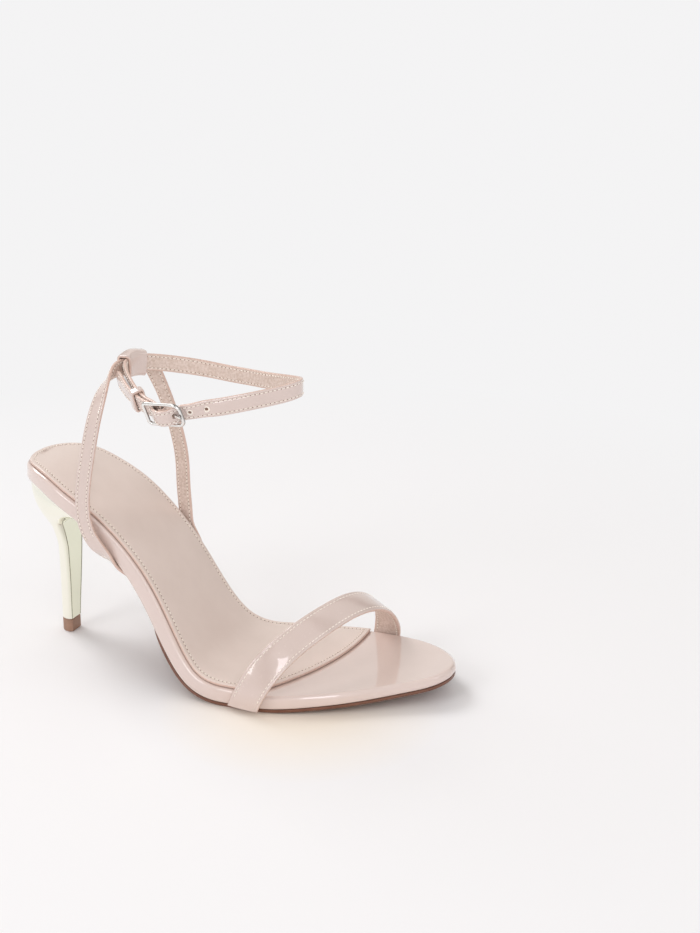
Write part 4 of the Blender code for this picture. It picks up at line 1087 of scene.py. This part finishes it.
def build_ankle_strap():
    rows = []
    fold = fold_rows()
    for k, (run, off, thick) in enumerate(fold):
        before, after = fold[max(k - 1, 0)], fold[min(k + 1, len(fold) - 1)]
        d = unit(np.array([after[0] - before[0], after[1] - before[1]]))
        _, along, _, out = ring_frame(BUCKLE_AT + run / _ring.length)
        rows.append((*ring_point(BUCKLE_AT, run, 0.0, off), *(out * -d[0] + along * d[1]), thick))
    start, split = BUCKLE_AT - BAR_REACH / _ring.length, BUCKLE_AT + SPLIT_AT / _ring.length
    for a, b, count, woven in ((start, 0.0, 50, 0), (1.0, split, 160, 0), (split, TAIL_AT, 130, 1)):
        for share in np.linspace(a, b, count)[1:]:
            off = weave_off((share - BUCKLE_AT) * _ring.length) * woven
            rows.append((*ring_point(share, 0.0, 0.0, off), *ring_frame(share)[3], STRAP_THICK))
    rows = np.array(rows)
    pts = rows[:, :3]
    run = run_length(pts)
    point = np.clip((run[-1] - run) / TIP_TAPER, 0, 1)
    widths = STRAP_WIDTH * (TIP_SHARE + (1 - TIP_SHARE) * np.sqrt(point))
    lines = strap("ankle_band", "ankle_strap", pts, rows[:, 3:6], widths, rows[:, 6], (16, -10),
                  punches=strap_punches)
    for k in range(SPARE_HOLES):
        build_hole_rim(k)
    stitches("ankle_stitches", lines)


def spare_hole(k):
    return BUCKLE_AT + (HOLE_FIRST + HOLE_PITCH * k) / _ring.length


def strap_punches():
    """Cutters of the prong's slot in the fold, the hole that it is in and the spare holes."""
    reach = FOLD_RADIUS + FOLD_THICK / 2 + 0.0002
    half = PRONG_WIDTH / 2 + GAP
    slot = [[ring_point(BUCKLE_AT, run, up, FRAME_OFF + off) for run, up in
             ((-reach, -half), (reach, -half), (reach, half), (-reach, half))]
            for off in (-reach, reach)]
    cutters = [loft("prong_slot", slot, "edge"), prong_hole_cutter()]
    for k in range(SPARE_HOLES):
        p, along, up, out = ring_frame(spare_hole(k))
        rings = [circle(p + out * off, along, up, HOLE / 2, 32) for off in (-0.004, 0.004)]
        cutters.append(loft("spare_hole_%d" % (k + 1), rings, "edge"))
    return cutters


def prong_hole_cutter():
    centre, along, up, out = buckle_frame()
    rows = np.array(prong_rows())
    a, b = rows[-6], rows[-1]
    d = unit(b - a)
    way = along * d[0] + out * d[1]
    base = centre + along * a[0] + out * a[1]
    rings = [circle(base + way * t, up, unit(np.cross(way, up)), PRONG_HOLE / 2, 32)
             for t in (0.0022, 0.0062)]
    return loft("prong_hole", rings, "edge")


def build_hole_rim(k):
    """The pale cut rim of a spare hole and, inside it, a dark cap of painted shade."""
    share = spare_hole(k)
    p, along, up, out = ring_frame(share)
    face = weave_off((share - BUCKLE_AT) * _ring.length) + STRAP_THICK / 2
    rings = [circle(p + out * (face + off), along, up, HOLE / 2 * size, 28)
             for size, off in ((0.98, -0.0009), (1.40, 0.00002), (1.32, 0.00016),
                               (0.98, 0.00020), (0.74, 0.00004), (0.66, -0.0004))]
    place(loft("hole_rim_%d" % (k + 1), rings, "thread hole", cap=1), None)


# The buckle


def build_buckle():
    centre, along, up, out = buckle_frame()
    half_tall = (FRAME_TALL - WIRE) / 2
    ahead, behind = SIDE_CORNERS
    path = rounded((-BAR_REACH, BAR_REACH), (-half_tall, half_tall),
                   (ahead, behind, behind, ahead), 16)
    world = np.array([centre + along * a + up * b for a, b in path])
    ways = unit(np.roll(world, -1, axis=0) - np.roll(world, 1, axis=0))
    rings = [circle(p, unit(np.cross(way, out)), out, BAR, 24) for p, way in zip(world, ways)]
    place(loft("frame_wire", rings, "silver", closed=True), "buckle_frame")
    bar = [circle(centre + up * s * half_tall, along, out, BAR * 0.98, 24)
           for s in np.linspace(-1, 1, 9)]
    place(loft("frame_bar", bar, "silver"), None)


def build_prong():
    centre, along, _, out = buckle_frame()
    rows = np.array(prong_rows())
    knots = run_length(rows)
    rows = row_at(np.linspace(0, knots[-1], 60), knots, rows).T
    pts = np.array([centre + along * r + out * o for r, o in rows])
    looks = np.array([out * a - along * b for a, b in unit(np.gradient(rows, axis=0))])
    n = len(pts)
    widths = PRONG_WIDTH * (1 - 0.35 * np.clip((np.arange(n) - n + 6) / 5, 0, 1) ** 2)
    ob, _, _ = ribbon("prong_wire", pts, looks, widths, np.full(n, PRONG_THICK),
                      "silver silver silver", groove=0.0, crown=0.00005, radius=0.0004)
    place(ob, "buckle_prong")


# Loops round the straps


def build_loop(name, node, share, long, wall, highs, sag, corner, crown, stations):
    """highs are the opening's outward reach at its ends; sag drops its lower side."""
    outer, inner = [], []
    clear = GAP + 0.0001
    half_up, low_out = STRAP_WIDTH / 2 + clear, -STRAP_THICK / 2 - clear
    for run in np.linspace(-long / 2, long / 2, stations):
        past = max(0.0, abs(run) - long / 2 + 0.0004) / 0.0004
        thin = wall * (0.55 + 0.45 * math.sqrt(max(0.0, 1 - past ** 2)))
        high = highs[0] + (highs[1] - highs[0]) * (run / long + 0.5)
        top = crown * math.cos(math.pi * run / long) ** 2
        low = -half_up - sag * (0.5 - run / long)
        for rings, grow in ((outer, thin), (inner, 0.0)):
            section = loop_section(low_out - grow, high + grow, low - grow,
                                   half_up + grow, corner + grow, top)
            rings.append([ring_point(share, run, u, o) for o, u in section])
    place(sleeve(name, outer, inner, "strap lining edge"), node)


def build_loops():
    build_loop("loop_band", "sling_loop", LOOP_AT, LOOP_LONG, LOOP_WALL, LOOP_OPENS, LOOP_SAG,
               0.0010, LOOP_CROWN, 41)
    run = (KEEPER_AT - BUCKLE_AT) * _ring.length
    high = weave_off(run) + STRAP_THICK / 2 + GAP + 0.0002
    build_loop("keeper_band", "strap_keeper", KEEPER_AT, KEEPER_LONG, KEEPER_WALL, (high, high),
               0.0, 0.0005, 0.0, 21)


# The studio


def build_floor():
    """Pale paper that fades to plain white away from the object, with painted warm bounce light
    under the toe.
    """
    mat, tree, shader = new_material("paper")
    put(shader, Roughness=0.60, Specular_IOR_Level=0.25)
    at = own_place(tree, "Object")
    far = ramp(tree, against(tree, "DISTANCE", at, FLOOR_MIDDLE), (0.11, 0.0), (0.50, 1.0))
    # Painted warm bounce light: the paper turns warmer round the toe.
    painted_bounce = ramp(tree, against(tree, "DISTANCE", at, PAINTED_BOUNCE_MIDDLE), (0.020, 1.0), (0.066, 0.0))
    feed(tree, shader, {"Base Color": tint(tree, painted_bounce, PAPER, PAINTED_BOUNCE_PAPER)})
    white = add_node(tree, "Emission", {}, Color=FAR_WHITE)
    mix = add_node(tree, "MixShader", {"Fac": far, 1: shader.outputs[0], 2: white.outputs[0]})
    feed(tree, tree.nodes["Material Output"], {"Surface": mix.outputs[0]})
    mesh = bpy.data.meshes.new("floor")
    r = FLOOR_REACH
    mesh.from_pydata([(-r, -r, 0), (r, -r, 0), (r, r, 0), (-r, r, 0)], [], [(0, 1, 2, 3)])
    mesh.materials.append(mat)
    mesh.shade_smooth()
    add_data("floor", mesh)


def build_lights():
    """A pale room of soft upright bands, white at the horizon, and four panels."""
    world = bpy.data.worlds.new("studio")
    bpy.context.scene.world = world
    world.use_nodes = True
    tree = world.node_tree
    at = own_place(tree, "Generated")
    turn = add_node(tree, "TexGradient", {"Vector": at}, gradient_type="RADIAL")
    bands = add_node(tree, "ValToRGB", {"Fac": turn.outputs["Fac"]})
    bands.color_ramp.interpolation = "EASE"
    stops = bands.color_ramp.elements
    while len(stops) < len(STUDIO_BANDS):
        stops.new(0.5)
    for stop, (share, bright) in zip(stops, STUDIO_BANDS):
        stop.position = share
        stop.color = (bright, bright * 0.975, bright * 0.94, 1.0)
    height = add_node(tree, "SeparateXYZ", {0: at}).outputs["Z"]
    mix = add_node(tree, "Mix", {}, data_type="RGBA", A=HORIZON)
    feed(tree, mix, {"Factor": ramp(tree, height, (0.03, 0.0), (0.22, 1.0)),
                     "B": bands.outputs["Color"]})
    back = tree.nodes["Background"]
    put(back, Strength=ROOM_STRENGTH)
    feed(tree, back, {"Color": mix.outputs["Result"]})
    for name, (spot, (wide, tall), power, colour) in LIGHTS.items():
        data = bpy.data.lights.new(name, "AREA")
        data.shape = "RECTANGLE"
        data.size, data.size_y = wide, tall
        data.energy, data.color = power, colour
        ob = add_data(name, data)
        ob.location = spot
        way = Vector(LIGHT_AIM) - Vector(spot)
        ob.rotation_euler = way.to_track_quat("-Z", "Y").to_euler()


def build_camera():
    data = bpy.data.cameras.new("camera")
    data.sensor_width, data.lens = SENSOR, LENS
    ob = add_data("camera", data)
    turn = Vector(CAMERA_AIM).normalized().to_track_quat("-Z", "Y").to_matrix().to_4x4()
    roll = Matrix.Rotation(math.radians(CAMERA_ROLL), 4, "Z")
    ob.matrix_world = Matrix.Translation(CAMERA_AT) @ turn @ roll
    bpy.context.scene.camera = ob


for build in (build_outsole, build_board, build_sock, build_heel, build_heel_tip, build_toe_strap,
              build_sling, build_ankle_strap, build_loops, build_buckle, build_prong, build_floor,
              build_lights, build_camera):
    build()
bpy.context.scene.view_settings.view_transform = "Standard"
